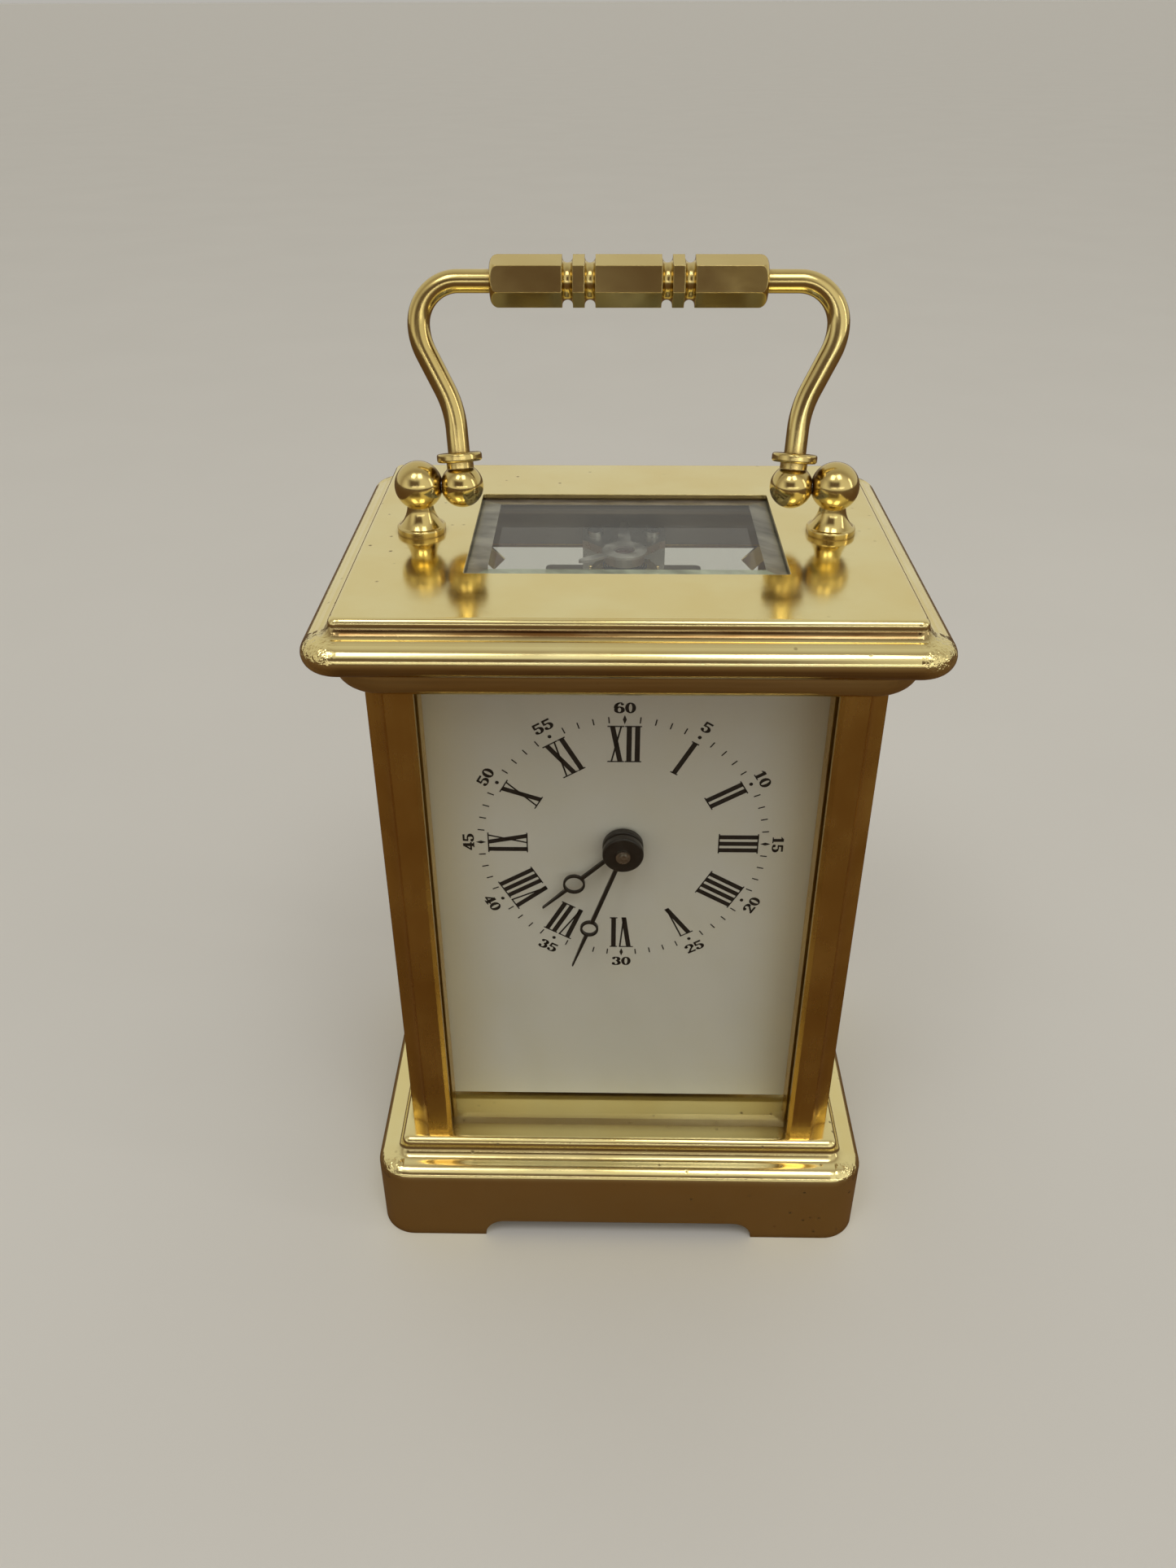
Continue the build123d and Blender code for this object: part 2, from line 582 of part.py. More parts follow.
def hand(reach, ring_at, ring_r, hole_r, arm_w, bore):
    """A Breguet hand, drawn pointing up local y from its boss at the origin."""
    shape = Circle(HAND_BOSS_R - 0.4)
    shape += Pos(0, (ring_at + 2) / 2) * Rectangle(arm_w, ring_at - 2)
    shape += Pos(0, ring_at) * Circle(ring_r)
    shoulder = ring_at + hole_r
    half = arm_w / 2
    shape += make_face(Polyline((-half, shoulder), (half, shoulder), (0.1, reach), (-0.1, reach), close=True))
    shape -= Pos(0, ring_at) * Circle(hole_r)
    return shape - Circle(bore)


HOUR_HAND_Y = (-20.1, -19.1)
MINUTE_HAND_Y = (-21.8, -20.7)
CANNON_R = 1.05
HOUR_PIPE_R = 1.6


def hand_plate(shape, boss_y, angle, bore):
    """A flat hand with a thicker boss, its rim rounded in front."""
    front = boss_y[0] + 0.25
    blade = layer_y(shape, 0, CENTRE_Z, front, front + HAND_THICK, -angle)
    thick = boss_y[1] - boss_y[0]
    soft = 0.3
    section = outline_face([(bore, 0), (HAND_BOSS_R, 0), bow(HAND_BOSS_R - soft, thick - soft, soft, 0, 90),
                            (bore, thick)])
    boss = Pos(0, boss_y[1], CENTRE_Z) * Rot(180, 0, 0) * revolve(section, Axis.Y, 360)
    return blade + boss


def hour_hand():
    return hand_plate(hand(16.5, 9.93, 1.65, 1.33, 0.52, HOUR_PIPE_R), HOUR_HAND_Y, HOUR_HAND_ANGLE, HOUR_PIPE_R)


def minute_hand():
    return hand_plate(hand(22.6, 14.8, 1.38, 1.05, 0.58, CANNON_R), MINUTE_HAND_Y, MINUTE_HAND_ANGLE, CANNON_R)


# ---------------------------------------------------------------- movement frame
PLATE_PILLARS = [(sx * 19.5, z) for sx in (1, -1) for z in (27.0, 93.0)]


def movement_plate(inner_y, side):
    """A pierced plate. side is -1 in front and +1 behind."""
    y0, y1 = sorted((inner_y, inner_y + side * PLATE_THICK))
    plate = box_between(-PLATE_HALF_X, PLATE_HALF_X, y0, y1, PLATE_BOTTOM, PLATE_TOP)
    plate = fillet(plate.edges().filter_by(Axis.Y), 1.5)
    for x, z in PLATE_PILLARS:
        plate -= rod_y(x, z, y0 - 1, y1 + 1, 0.9)
    for axis in (inter, third, contrate):
        plate -= rod_y(axis.x, axis.z, y0 - 1, y1 + 1, PIVOT_R + RUNNING)
    plate -= rod_y(centre.x, centre.z, y0 - 1, y1 + 1, 0.65 + RUNNING if side < 0 else 1.0 + RUNNING)
    plate -= rod_y(barrel_axis.x, barrel_axis.z, y0 - 1, y1 + 1, 2.0 + RUNNING)
    for sx in (1, -1):
        plate -= rod_z(sx * 10.5, (y0 + y1) / 2, PLATE_TOP - 4.0, PLATE_TOP + 1, 0.5)
    return plate


def front_plate():
    """With the post of the minute wheel riveted in, and holes for the dial's feet."""
    plate = movement_plate(FRONT_PLATE_Y, -1)
    for x, z in DIAL_FEET:
        plate -= rod_y(x, z, FRONT_PLATE_Y - 4, FRONT_PLATE_Y + 1, 0.9)
    return plate + rod_y(minute.x, minute.z, -17.1, FRONT_PLATE_Y, MINUTE_POST_R)


def back_plate():
    """With the click's headed stud riveted in."""
    plate = movement_plate(BACK_PLATE_Y, 1)
    plate -= rod_y(SPRING_X, SPRING_Z, BACK_PLATE_Y - 1, BACK_PLATE_Y + 4, 0.6)
    plate += rod_y(CLICK_X, CLICK_Z, BACK_PLATE_Y, 15.3, CLICK_STUD_R)
    return plate + rod_y(CLICK_X, CLICK_Z, 15.3, 16.0, 1.6)


def plate_pillars():
    posts = []
    for x, z in PLATE_PILLARS:
        post = rod_y(x, z, FRONT_PLATE_Y, BACK_PLATE_Y, 2.0)
        posts.append(post - rod_y(x, z, FRONT_PLATE_Y - 1, BACK_PLATE_Y + 1, 0.9))
    return group(posts)


def plate_screws():
    screws = []
    turned = screw(1.7, 1.0, 0.9, PLATE_THICK + 5.0)
    for x, z in PLATE_PILLARS:
        screws.append(Pos(x, FRONT_PLATE_Y - PLATE_THICK, z) * Rot(90, 0, 0) * turned)
        screws.append(Pos(x, BACK_PLATE_Y + PLATE_THICK, z) * Rot(-90, 0, 0) * turned)
    return group(screws)


def movement_seats():
    bars = []
    for sx in (1, -1):
        bar = box_between(sx * SEAT_X - SEAT_WIDTH / 2, sx * SEAT_X + SEAT_WIDTH / 2,
                          FRONT_PLATE_Y, BACK_PLATE_Y, BASE_TOP, BASE_TOP + SEAT_HEIGHT)
        for sy in (1, -1):
            bar -= rod_z(sx * SEAT_X, sy * 6.0, BASE_TOP - 1, BASE_TOP + 4.4, 1.0)
        bars.append(bar)
    return group(bars)


def movement_mount_screws():
    screws = []
    for sx in (1, -1):
        for sy in (1, -1):
            turned = Rot(180, 0, 0) * screw(2.1, 1.3, 1.0, BASE_TOP + 4.2 - 6.0)
            screws.append(Pos(sx * SEAT_X, sy * 6.0, 6.0) * turned)
    return group(screws)


# ---------------------------------------------------------------- going train
# Each wheel's phase is set so that its teeth mesh with the next pinion at rest.
BARREL_LAYER = (6.8, 8.4)
INTER_LAYER = (-9.6, -8.6)
CENTRE_LAYER = (2.0, 3.0)
THIRD_LAYER = (-8.0, -7.2)
OVERHANG = 0.4                  # a pinion is this much longer than its wheel on each side


def pinion_layer(layer):
    return (layer[0] - OVERHANG, layer[1] + OVERHANG)


inter_pinion_phase = mesh_phase(barrel_axis.towards(inter), BARREL_TEETH, 0.0, PINION_TEETH)
centre_pinion_phase = mesh_phase(inter.towards(centre), INTER_TEETH, 0.0, PINION_TEETH)
third_pinion_phase = mesh_phase(centre.towards(third), CENTRE_TEETH, 0.0, PINION_TEETH)
contrate_pinion_phase = mesh_phase(third.towards(contrate), THIRD_TEETH, 0.0, PINION_TEETH)
minute_wheel_phase = mesh_phase(centre.towards(minute), PINION_TEETH, 0.0, MINUTE_TEETH)
hour_wheel_phase = mesh_phase(minute.towards(centre), PINION_TEETH, 0.0, HOUR_TEETH)

DRUM_R = 16.5
DRUM_WALL = 1.0
DRUM_Y = (-6.4, 6.4)
ARBOR_BORE = 2.0


def barrel():
    """Toothed rim and drum in one piece, open towards the front."""
    x, z = barrel_axis.x, barrel_axis.z
    drum = rod_y(x, z, DRUM_Y[0], DRUM_Y[1], DRUM_R)
    drum += layer_y(gear_sketch(BARREL_TEETH, BARREL_MODULE), x, z, BARREL_LAYER[0], BARREL_LAYER[1])
    drum += rod_y(x, z, DRUM_Y[1], BARREL_LAYER[0], DRUM_R)
    drum -= rod_y(x, z, DRUM_Y[0] - 1, DRUM_Y[1] - 0.4, DRUM_R - DRUM_WALL)
    return drum - rod_y(x, z, -10, 12, ARBOR_BORE + RUNNING)


def barrel_cover():
    x, z = barrel_axis.x, barrel_axis.z
    disc = rod_y(x, z, DRUM_Y[0], DRUM_Y[0] + 0.8, DRUM_R - DRUM_WALL)
    return disc - rod_y(x, z, -10, 12, ARBOR_BORE + RUNNING)


def spiral_strip(r0, r1, turns, thick, height):
    """A flat spiral strip standing on z = 0."""
    def point(t, offset):
        r = r0 + (r1 - r0) * t + offset
        return (r * cos(2 * pi * turns * t), r * sin(2 * pi * turns * t))

    steps = int(14 * turns)
    inner = Spline([point(i / steps, -thick / 2) for i in range(steps + 1)])
    outer = Spline([point(i / steps, thick / 2) for i in range(steps + 1)])
    ends = [Line(inner @ 0, outer @ 0), Line(inner @ 1, outer @ 1)]
    return extrude(make_face(Wire([inner, ends[1], outer, ends[0]])), height)


def mainspring():
    strip = spiral_strip(5.2, 14.6, 8, 0.4, 10.2)
    return facing(barrel_axis.x, 5.4, barrel_axis.z) * strip


def barrel_arbor():
    """Winding arbor: a hub inside the drum, journals in both plates and a square for the key."""
    x, z = barrel_axis.x, barrel_axis.z
    solid = rod_y(x, z, FRONT_PLATE_Y - PLATE_THICK + 0.1, 15.6, ARBOR_BORE)
    solid += rod_y(x, z, -4.8, 5.2, 3.6)
    return solid + box_between(x - 1.25, x + 1.25, 15.6, 20.6, z - 1.25, z + 1.25)


def ratchet_wheel():
    """Saw teeth that pass the click one way only."""
    points = []
    for i in range(RATCHET_TEETH):
        a = 2 * pi * i / RATCHET_TEETH
        points.append((RATCHET_R * cos(a), RATCHET_R * sin(a)))
        points.append(((RATCHET_R - 0.9) * cos(a), (RATCHET_R - 0.9) * sin(a)))
    sketch = make_face(Polyline(points, close=True)) - Circle(ARBOR_BORE)
    return layer_y(sketch, barrel_axis.x, barrel_axis.z, 14.0, 15.2)


CLICK_X = barrel_axis.x + 9.8
CLICK_Z = barrel_axis.z + 5.6
SPRING_X = CLICK_X + 3.4
SPRING_Z = CLICK_Z - 8.0


def click():
    """A pawl that turns on its stud; the nose hangs beside the ratchet."""
    nose = make_face(Polyline((-1.5, 0), (1.3, 0.4), (0.2, -6.4), (-3.1, -5.4), (-1.7, -4.4), close=True))
    shape = Circle(1.8) + nose - Circle(CLICK_STUD_R + RUNNING)
    return layer_y(shape, CLICK_X, CLICK_Z, 14.0, 15.2)


def click_spring():
    """A bent strip with its foot screwed to the back plate."""
    foot = Circle(1.4) - Circle(0.6)
    strip = Pos(-0.9, 5.0) * Rot(0, 0, 6) * Rectangle(0.35, 8.6)
    return layer_y(foot + strip, SPRING_X, SPRING_Z, 14.0, 15.0)


def train_wheel(teeth, module, hub_r, spokes, width):
    rim = module * teeth / 2 - 1.2 * module - 1.0
    return gear_sketch(teeth, module) - crossings(hub_r, rim, spokes, width)


def intermediate_wheel():
    wheel = train_wheel(INTER_TEETH, INTER_MODULE, 3.0, 5, 1.3)
    pinion = gear_sketch(PINION_TEETH, BARREL_MODULE)
    return wheel_and_arbor(inter, wheel, INTER_LAYER, pinion, pinion_layer(BARREL_LAYER),
                           (FRONT_PLATE_Y + 0.2, BACK_PLATE_Y - 0.2), 0.0, inter_pinion_phase)


def centre_wheel():
    """The arbor runs on through the dial to carry the hands, and out behind as a setting square."""
    wheel = train_wheel(CENTRE_TEETH, CENTRE_MODULE, 2.6, 5, 1.2)
    pinion = gear_sketch(PINION_TEETH, INTER_MODULE)
    solid = layer_y(wheel, 0, CENTRE_Z, CENTRE_LAYER[0], CENTRE_LAYER[1])
    low, high = pinion_layer(INTER_LAYER)
    solid += layer_y(pinion, 0, CENTRE_Z, low, high, degrees(centre_pinion_phase))
    solid += rod_y(0, CENTRE_Z, FRONT_PLATE_Y + 0.2, BACK_PLATE_Y - 0.2, 1.2)
    solid += rod_y(0, CENTRE_Z, -22.7, 0, 0.65)
    solid += rod_y(0, CENTRE_Z, 0, 15.0, 1.0)
    return solid + box_between(-0.9, 0.9, 15.0, 19.0, CENTRE_Z - 0.9, CENTRE_Z + 0.9)


def third_wheel():
    wheel = train_wheel(THIRD_TEETH, THIRD_MODULE, 2.2, 5, 1.0)
    pinion = gear_sketch(PINION_TEETH, CENTRE_MODULE)
    return wheel_and_arbor(third, wheel, THIRD_LAYER, pinion, pinion_layer(CENTRE_LAYER),
                           (FRONT_PLATE_Y + 0.2, BACK_PLATE_Y - 0.2), 0.0, third_pinion_phase)


def contrate_wheel():
    """A crown wheel: its teeth stand up from the rim, towards the escape pinion."""
    disc = Circle(CONTRATE_R) - crossings(1.6, CONTRATE_R - 1.1, 4, 1.0)
    pinion = gear_sketch(PINION_TEETH, THIRD_MODULE)
    solid = wheel_and_arbor(contrate, disc, (-4.5, -3.5), pinion, pinion_layer(THIRD_LAYER),
                            (FRONT_PLATE_Y + 0.2, BACK_PLATE_Y - 0.2), 0.0, contrate_pinion_phase)
    crown = Circle(CONTRATE_R) - Circle(CONTRATE_R - 0.8)
    spaces = Sketch()
    for i in range(CONTRATE_TEETH):
        spaces += Rot(0, 0, 360.0 * (i + 0.5) / CONTRATE_TEETH) * Pos(CONTRATE_R, 0) * Rectangle(3, 0.26)
    solid += layer_y(crown, contrate.x, contrate.z, -3.5, -2.6)
    return solid + layer_y(crown - spaces, contrate.x, contrate.z, -2.6, -1.9)


# ---------------------------------------------------------------- motion work
CANNON_LAYER = (-15.1, -13.7)
MINUTE_LAYER = (-14.9, -13.9)
MINUTE_PINION_LAYER = (-16.6, -14.9)
HOUR_LAYER = (-16.4, -15.4)


def cannon_pinion():
    """Pinion and pipe, a friction fit on the centre arbor; the minute hand sits on its end."""
    solid = layer_y(gear_sketch(PINION_TEETH, MINUTE_MODULE), 0, CENTRE_Z, CANNON_LAYER[0], CANNON_LAYER[1])
    solid += rod_y(0, CENTRE_Z, -22.3, CANNON_LAYER[0], CANNON_R)
    return solid - rod_y(0, CENTRE_Z, -24, -12, 0.65)


def minute_wheel():
    wheel = train_wheel(MINUTE_TEETH, MINUTE_MODULE, 2.2, 4, 1.0)
    x, z = minute.x, minute.z
    solid = layer_y(wheel, x, z, MINUTE_LAYER[0], MINUTE_LAYER[1], degrees(minute_wheel_phase))
    pinion = gear_sketch(PINION_TEETH, HOUR_MODULE)
    solid += layer_y(pinion, x, z, MINUTE_PINION_LAYER[0], MINUTE_PINION_LAYER[1])
    return solid - rod_y(x, z, -20, -12, MINUTE_POST_R + RUNNING)


def hour_wheel():
    """Wheel with a pipe that runs out through the dial to carry the hour hand."""
    wheel = train_wheel(HOUR_TEETH, HOUR_MODULE, 2.8, 4, 1.1)
    solid = layer_y(wheel, 0, CENTRE_Z, HOUR_LAYER[0], HOUR_LAYER[1], degrees(hour_wheel_phase))
    solid += rod_y(0, CENTRE_Z, -20.3, HOUR_LAYER[0], HOUR_PIPE_R)
    return solid - rod_y(0, CENTRE_Z, -24, -12, CANNON_R + RUNNING)


# ---------------------------------------------------------------- platform escapement
PLATFORM_Z = PLATE_TOP + PLATFORM_THICK
ESCAPE_Z = (100.0, 100.5)
BALANCE_Z = (102.2, 103.0)
COCK_Z = (104.3, 105.5)
COCK_SCREW = (4.45, 16.9)
COCK_HALF = 6.4
COCK_BACK = 20.0
INDEX_R = 3.4
BRIDGE_FOOT_X = -9.9
BRIDGE_Y = -1.7
BRIDGE_TOP = 102.1
ESCAPE_TEETH = 15
ESCAPE_R = 3.7
LEVER_SWING = 4.0               # degrees each way


def platform_plate():
    middle = (PLATFORM_FRONT + PLATFORM_BACK) / 2
    outline = RectangleRounded(2 * PLATFORM_HALF_X, PLATFORM_BACK - PLATFORM_FRONT, 1.0)
    plate = Pos(0, middle, PLATE_TOP) * extrude(outline, PLATFORM_THICK)
    plate -= rod_z(0, ESCAPE_Y, PLATE_TOP - 1, PLATFORM_Z + 1, 1.4)
    plate -= rod_z(0, BALANCE_Y, PLATFORM_Z - 0.8, PLATFORM_Z + 1, 0.3 + RUNNING)
    plate -= rod_z(0, LEVER_Y, PLATFORM_Z - 0.8, PLATFORM_Z + 1, 0.3 + RUNNING)
    for sx in (1, -1):
        for y in (FRONT_PLATE_Y - PLATE_THICK / 2, BACK_PLATE_Y + PLATE_THICK / 2):
            plate -= rod_z(sx * 10.5, y, PLATE_TOP - 1, PLATFORM_Z + 1, 0.65)
        plate -= rod_z(sx * COCK_SCREW[0], COCK_SCREW[1], PLATE_TOP - 1, PLATFORM_Z + 1, 0.6)
    return plate - rod_z(BRIDGE_FOOT_X, BRIDGE_Y, PLATE_TOP - 1, PLATFORM_Z + 1, 0.6)


def small_screws():
    """Four hold the platform, two the balance cock, one the escapement cock and one the click spring."""
    screws = []
    for sx in (1, -1):
        for y in (FRONT_PLATE_Y - PLATE_THICK / 2, BACK_PLATE_Y + PLATE_THICK / 2):
            screws.append(Pos(sx * 10.5, y, PLATFORM_Z) * screw(1.3, 0.8, 0.5, PLATFORM_THICK + 3.6))
        cock_screw = screw(1.25, 0.8, 0.6, COCK_Z[1] - PLATE_TOP - 0.2)
        screws.append(Pos(sx * COCK_SCREW[0], COCK_SCREW[1], COCK_Z[1]) * cock_screw)
    screws.append(Pos(BRIDGE_FOOT_X, BRIDGE_Y, BRIDGE_TOP) * screw(1.25, 0.8, 0.6, BRIDGE_TOP - PLATE_TOP - 0.2))
    screws.append(Pos(SPRING_X, 15.0, SPRING_Z) * Rot(-90, 0, 0) * screw(1.3, 0.8, 0.6, 2.8))
    return group(screws)


def lower_potence():
    """Bracket under the platform that holds the foot of the escape arbor."""
    arm = box_between(2.6, 5.0, -1.5, 3.4, 90.8, PLATE_TOP)
    tongue = box_between(-1.2, 5.0, -1.5, 1.6, 90.0, 91.0)
    return arm + tongue - rod_z(0, ESCAPE_Y, 90.4, 92, 0.3 + RUNNING)


def escape_wheel():
    """Club-toothed wheel on a long upright arbor, its pinion over the contrate wheel."""
    points = []
    step = 2 * pi / ESCAPE_TEETH
    for i in range(ESCAPE_TEETH):
        a = i * step
        for r, share in ((ESCAPE_R - 1.0, -0.12), (ESCAPE_R, 0.30), (ESCAPE_R - 0.25, 0.48), (ESCAPE_R - 1.0, 0.16)):
            points.append((r * cos(a + share * step), r * sin(a + share * step)))
    sketch = make_face(Polyline(points, close=True)) - crossings(0.9, 2.2, 4, 0.5)
    solid = Pos(0, ESCAPE_Y, ESCAPE_Z[0]) * extrude(sketch, ESCAPE_Z[1] - ESCAPE_Z[0])
    solid += rod_z(0, ESCAPE_Y, 91.2, 101.4, 0.5)
    solid += rod_z(0, ESCAPE_Y, 90.5, BRIDGE_TOP - 0.1, 0.3)
    leaves = gear_sketch(7, 0.22)
    return solid + Pos(0, ESCAPE_Y, 92.6) * extrude(leaves, 2.8)


def pallet_lever():
    """Two pallets either side of the escape wheel, a long tail and a fork under the roller."""
    reach = LEVER_Y - ESCAPE_Y
    shape = Circle(0.8)
    for sx in (1, -1):
        wing = Polyline((sx * 0.2, 0.5), (sx * 4.1, -1.5), (sx * 4.1, -2.6), (sx * 3.3, -2.6), (sx * 3.3, -1.8),
                        (sx * 0.2, -0.5), close=True)
        shape += make_face(wing)
    shape += Pos(0, 2.1) * Rectangle(0.6, 4.2)
    shape += Pos(0, 4.3) * Rectangle(1.5, 0.9) - Pos(0, 4.6) * Rectangle(0.6, 0.7)
    body = extrude(shape, 0.5)
    for swing in (-LEVER_SWING, 0, LEVER_SWING):
        body -= Rot(0, 0, swing) * Pos(0, -reach, 0) * extrude(Circle(ESCAPE_R + 0.1), 0.5)
    body = Pos(0, LEVER_Y, ESCAPE_Z[0]) * body
    return body + rod_z(0, LEVER_Y, PLATFORM_Z - 0.6, BRIDGE_TOP - 0.1, 0.3)


def balance_wheel():
    """Rim, one straight arm, staff, roller and a row of timing screws."""
    rim_r = 5.0
    wheel = Circle(rim_r) - Circle(rim_r - 0.8) + Rectangle(2 * rim_r - 0.6, 0.9) + Circle(1.1)
    solid = extrude(wheel, BALANCE_Z[1] - BALANCE_Z[0])
    for i in range(12):
        angle = 30.0 * i + 15.0
        stud = Rot(0, 0, angle) * rod_x(0, 0.4, rim_r - 0.3, rim_r + 0.5, 0.32)
        solid += stud
    solid = Pos(0, BALANCE_Y, BALANCE_Z[0]) * solid
    solid += rod_z(0, BALANCE_Y, PLATFORM_Z - 0.6, COCK_Z[0] + 0.9, 0.3)
    solid += rod_z(0, BALANCE_Y, 100.9, 104.0, 0.5)
    solid += rod_z(0, BALANCE_Y, 101.1, 101.6, 1.6)
    return solid + rod_z(0, BALANCE_Y - 1.3, 100.7, 101.2, 0.2)


def hairspring():
    strip = spiral_strip(0.85, 3.4, 7, 0.12, 0.4)
    collet = extrude(Circle(0.92) - Circle(0.5), 0.4)
    return Pos(0, BALANCE_Y, 103.3) * (collet + strip)


def balance_cock():
    """Foot behind, an arm over the balance and a ring end round the upper jewel."""
    low, high = COCK_Z
    foot = box_between(-COCK_HALF, COCK_HALF, 15.3, COCK_BACK, PLATFORM_Z, low)
    table = [(COCK_HALF, COCK_BACK), (COCK_HALF, 14.6), (COCK_HALF - 0.9, 13.9), (2.7, BALANCE_Y + 1.2)]
    arm = make_face(Polyline(table + [(-x, y) for x, y in reversed(table)], close=True))
    arm += Pos(0, BALANCE_Y) * Circle(3.1)
    solid = foot + Pos(0, 0, low) * extrude(arm, high - low)
    solid -= rod_z(0, BALANCE_Y, low + 0.5, high + 1, 1.7)
    solid -= rod_z(0, BALANCE_Y, low - 1, high + 1, 0.3 + RUNNING)
    for sx in (1, -1):
        solid -= rod_z(sx * COCK_SCREW[0], COCK_SCREW[1], PLATFORM_Z - 1, high + 1, 0.6)
    return solid


def balance_jewel():
    seat = Pos(0, BALANCE_Y, COCK_Z[0] + 0.5)
    return seat * extrude(Circle(1.7) - Circle(0.3 + RUNNING), 0.5)


def escapement_cock():
    """Bridge over the escape wheel and the lever."""
    low = BRIDGE_TOP - 0.5
    solid = box_between(BRIDGE_FOOT_X - 1.7, BRIDGE_FOOT_X + 1.7, BRIDGE_Y - 2.5, BRIDGE_Y + 2.5, PLATFORM_Z, low)
    bar = Pos(-4.9, BRIDGE_Y) * RectangleRounded(13.4, 5.0, 0.8)
    bar += Pos(0, LEVER_Y / 2) * RectangleRounded(3.0, 6.6, 0.8)
    solid += Pos(0, 0, low) * extrude(bar, BRIDGE_TOP - low)
    for y in (ESCAPE_Y, LEVER_Y):
        solid -= rod_z(0, y, low - 1, low + 2, 0.3 + RUNNING)
    return solid - rod_z(BRIDGE_FOOT_X, BRIDGE_Y, PLATFORM_Z - 1, low + 2, 0.6)


def regulator_index():
    """A ring that turns round the cock's jewel, with a long arm behind and a short curb in front."""
    ring = Circle(INDEX_R)
    ring += make_face(Polyline((-1.15, 2.5), (1.15, 2.5), (1.0, 5.0), (0.55, 11.8), (-0.55, 11.8), (-1.0, 5.0),
                               close=True))
    ring += Rot(0, 0, 212) * Pos(5.4, 0) * Ellipse(2.6, 0.75)
    ring -= Circle(1.6)
    return Pos(0, BALANCE_Y, COCK_Z[1] + 0.1) * extrude(ring, 0.4)


# ---------------------------------------------------------------- write one file per piece
nodes = {
    "base": base(),
    "top_frame": top_frame(),
    "top_glass": top_glass(),
    "top_glass_retainer": top_glass_retainer(),
    "pillar_front_left": pillar(-1, -1),
    "pillar_front_right": pillar(1, -1),
    "pillar_rear_left": pillar(-1, 1),
    "pillar_rear_right": pillar(1, 1),
    "pillar_tie_rods": pillar_tie_rods(),
    "front_glass": front_glass(),
    "left_glass": side_glass(-1),
    "right_glass": side_glass(1),
    "rear_door_frame": rear_door_frame(),
    "rear_door_glass": rear_door_glass(),
    "rear_glass_clips": rear_glass_clips(),
    "rear_door_hinge_pins": rear_door_hinge_pins(),
    "rear_door_knob": rear_door_knob(),
    "handle_post_left": handle_post(-1),
    "handle_post_right": handle_post(1),
    "handle_pivot_pins": handle_pivot_pins(),
    "handle_ball_left": handle_ball(-1),
    "handle_ball_right": handle_ball(1),
    "handle_arm_left": handle_arm(-1),
    "handle_arm_right": handle_arm(1),
    "handle_grip": handle_grip(),
    "dial": dial(),
    "hour_hand": hour_hand(),
    "minute_hand": minute_hand(),
    "front_plate": front_plate(),
    "back_plate": back_plate(),
    "plate_pillars": plate_pillars(),
    "plate_screws": plate_screws(),
    "movement_seats": movement_seats(),
    "movement_mount_screws": movement_mount_screws(),
    "barrel": barrel(),
    "barrel_cover": barrel_cover(),
    "mainspring": mainspring(),
    "barrel_arbor": barrel_arbor(),
    "ratchet_wheel": ratchet_wheel(),
    "click": click(),
    "click_spring": click_spring(),
    "intermediate_wheel": intermediate_wheel(),
    "centre_wheel": centre_wheel(),
    "third_wheel": third_wheel(),
    "contrate_wheel": contrate_wheel(),
    "cannon_pinion": cannon_pinion(),
    "minute_wheel": minute_wheel(),
    "hour_wheel": hour_wheel(),
    "platform_plate": platform_plate(),
    "small_screws": small_screws(),
    "lower_potence": lower_potence(),
    "escape_wheel": escape_wheel(),
    "pallet_lever": pallet_lever(),
    "balance_wheel": balance_wheel(),
    "hairspring": hairspring(),
    "balance_cock": balance_cock(),
    "balance_jewel": balance_jewel(),
    "escapement_cock": escapement_cock(),
    "regulator_index": regulator_index(),
}

os.makedirs("parts", exist_ok=True)
for name, solid in nodes.items():
    export_step(solid, f"parts/{name}.step")
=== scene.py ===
import math

import bpy
from mathutils import Matrix, Vector


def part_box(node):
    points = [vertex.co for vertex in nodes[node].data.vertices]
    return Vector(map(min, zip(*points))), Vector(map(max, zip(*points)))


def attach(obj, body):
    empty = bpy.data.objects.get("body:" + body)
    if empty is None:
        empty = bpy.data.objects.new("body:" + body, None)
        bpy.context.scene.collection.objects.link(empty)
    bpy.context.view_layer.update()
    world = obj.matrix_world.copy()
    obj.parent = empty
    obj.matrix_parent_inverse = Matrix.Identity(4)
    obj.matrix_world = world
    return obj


# A glazed brass carriage clock. Sizes and places are in metres, in the frame's own axes: x to the
# clock's right as its dial is read, y to the back, z up.

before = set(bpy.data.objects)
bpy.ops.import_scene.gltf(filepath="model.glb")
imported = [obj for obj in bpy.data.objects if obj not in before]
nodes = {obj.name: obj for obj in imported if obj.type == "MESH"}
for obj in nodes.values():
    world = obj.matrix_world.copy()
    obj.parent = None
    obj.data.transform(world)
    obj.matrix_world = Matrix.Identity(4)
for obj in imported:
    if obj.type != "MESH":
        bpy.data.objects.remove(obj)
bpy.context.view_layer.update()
scene = bpy.context.scene
MM = 0.001


# ---------------------------------------------------------------- node trees
def rgb(r, g, b):
    return (r, g, b, 1.0)


def scaled(color, amount, lift=0.0):
    """The colour made lighter or darker, alpha left alone."""
    return rgb(*(part * amount + lift for part in color[:3]))


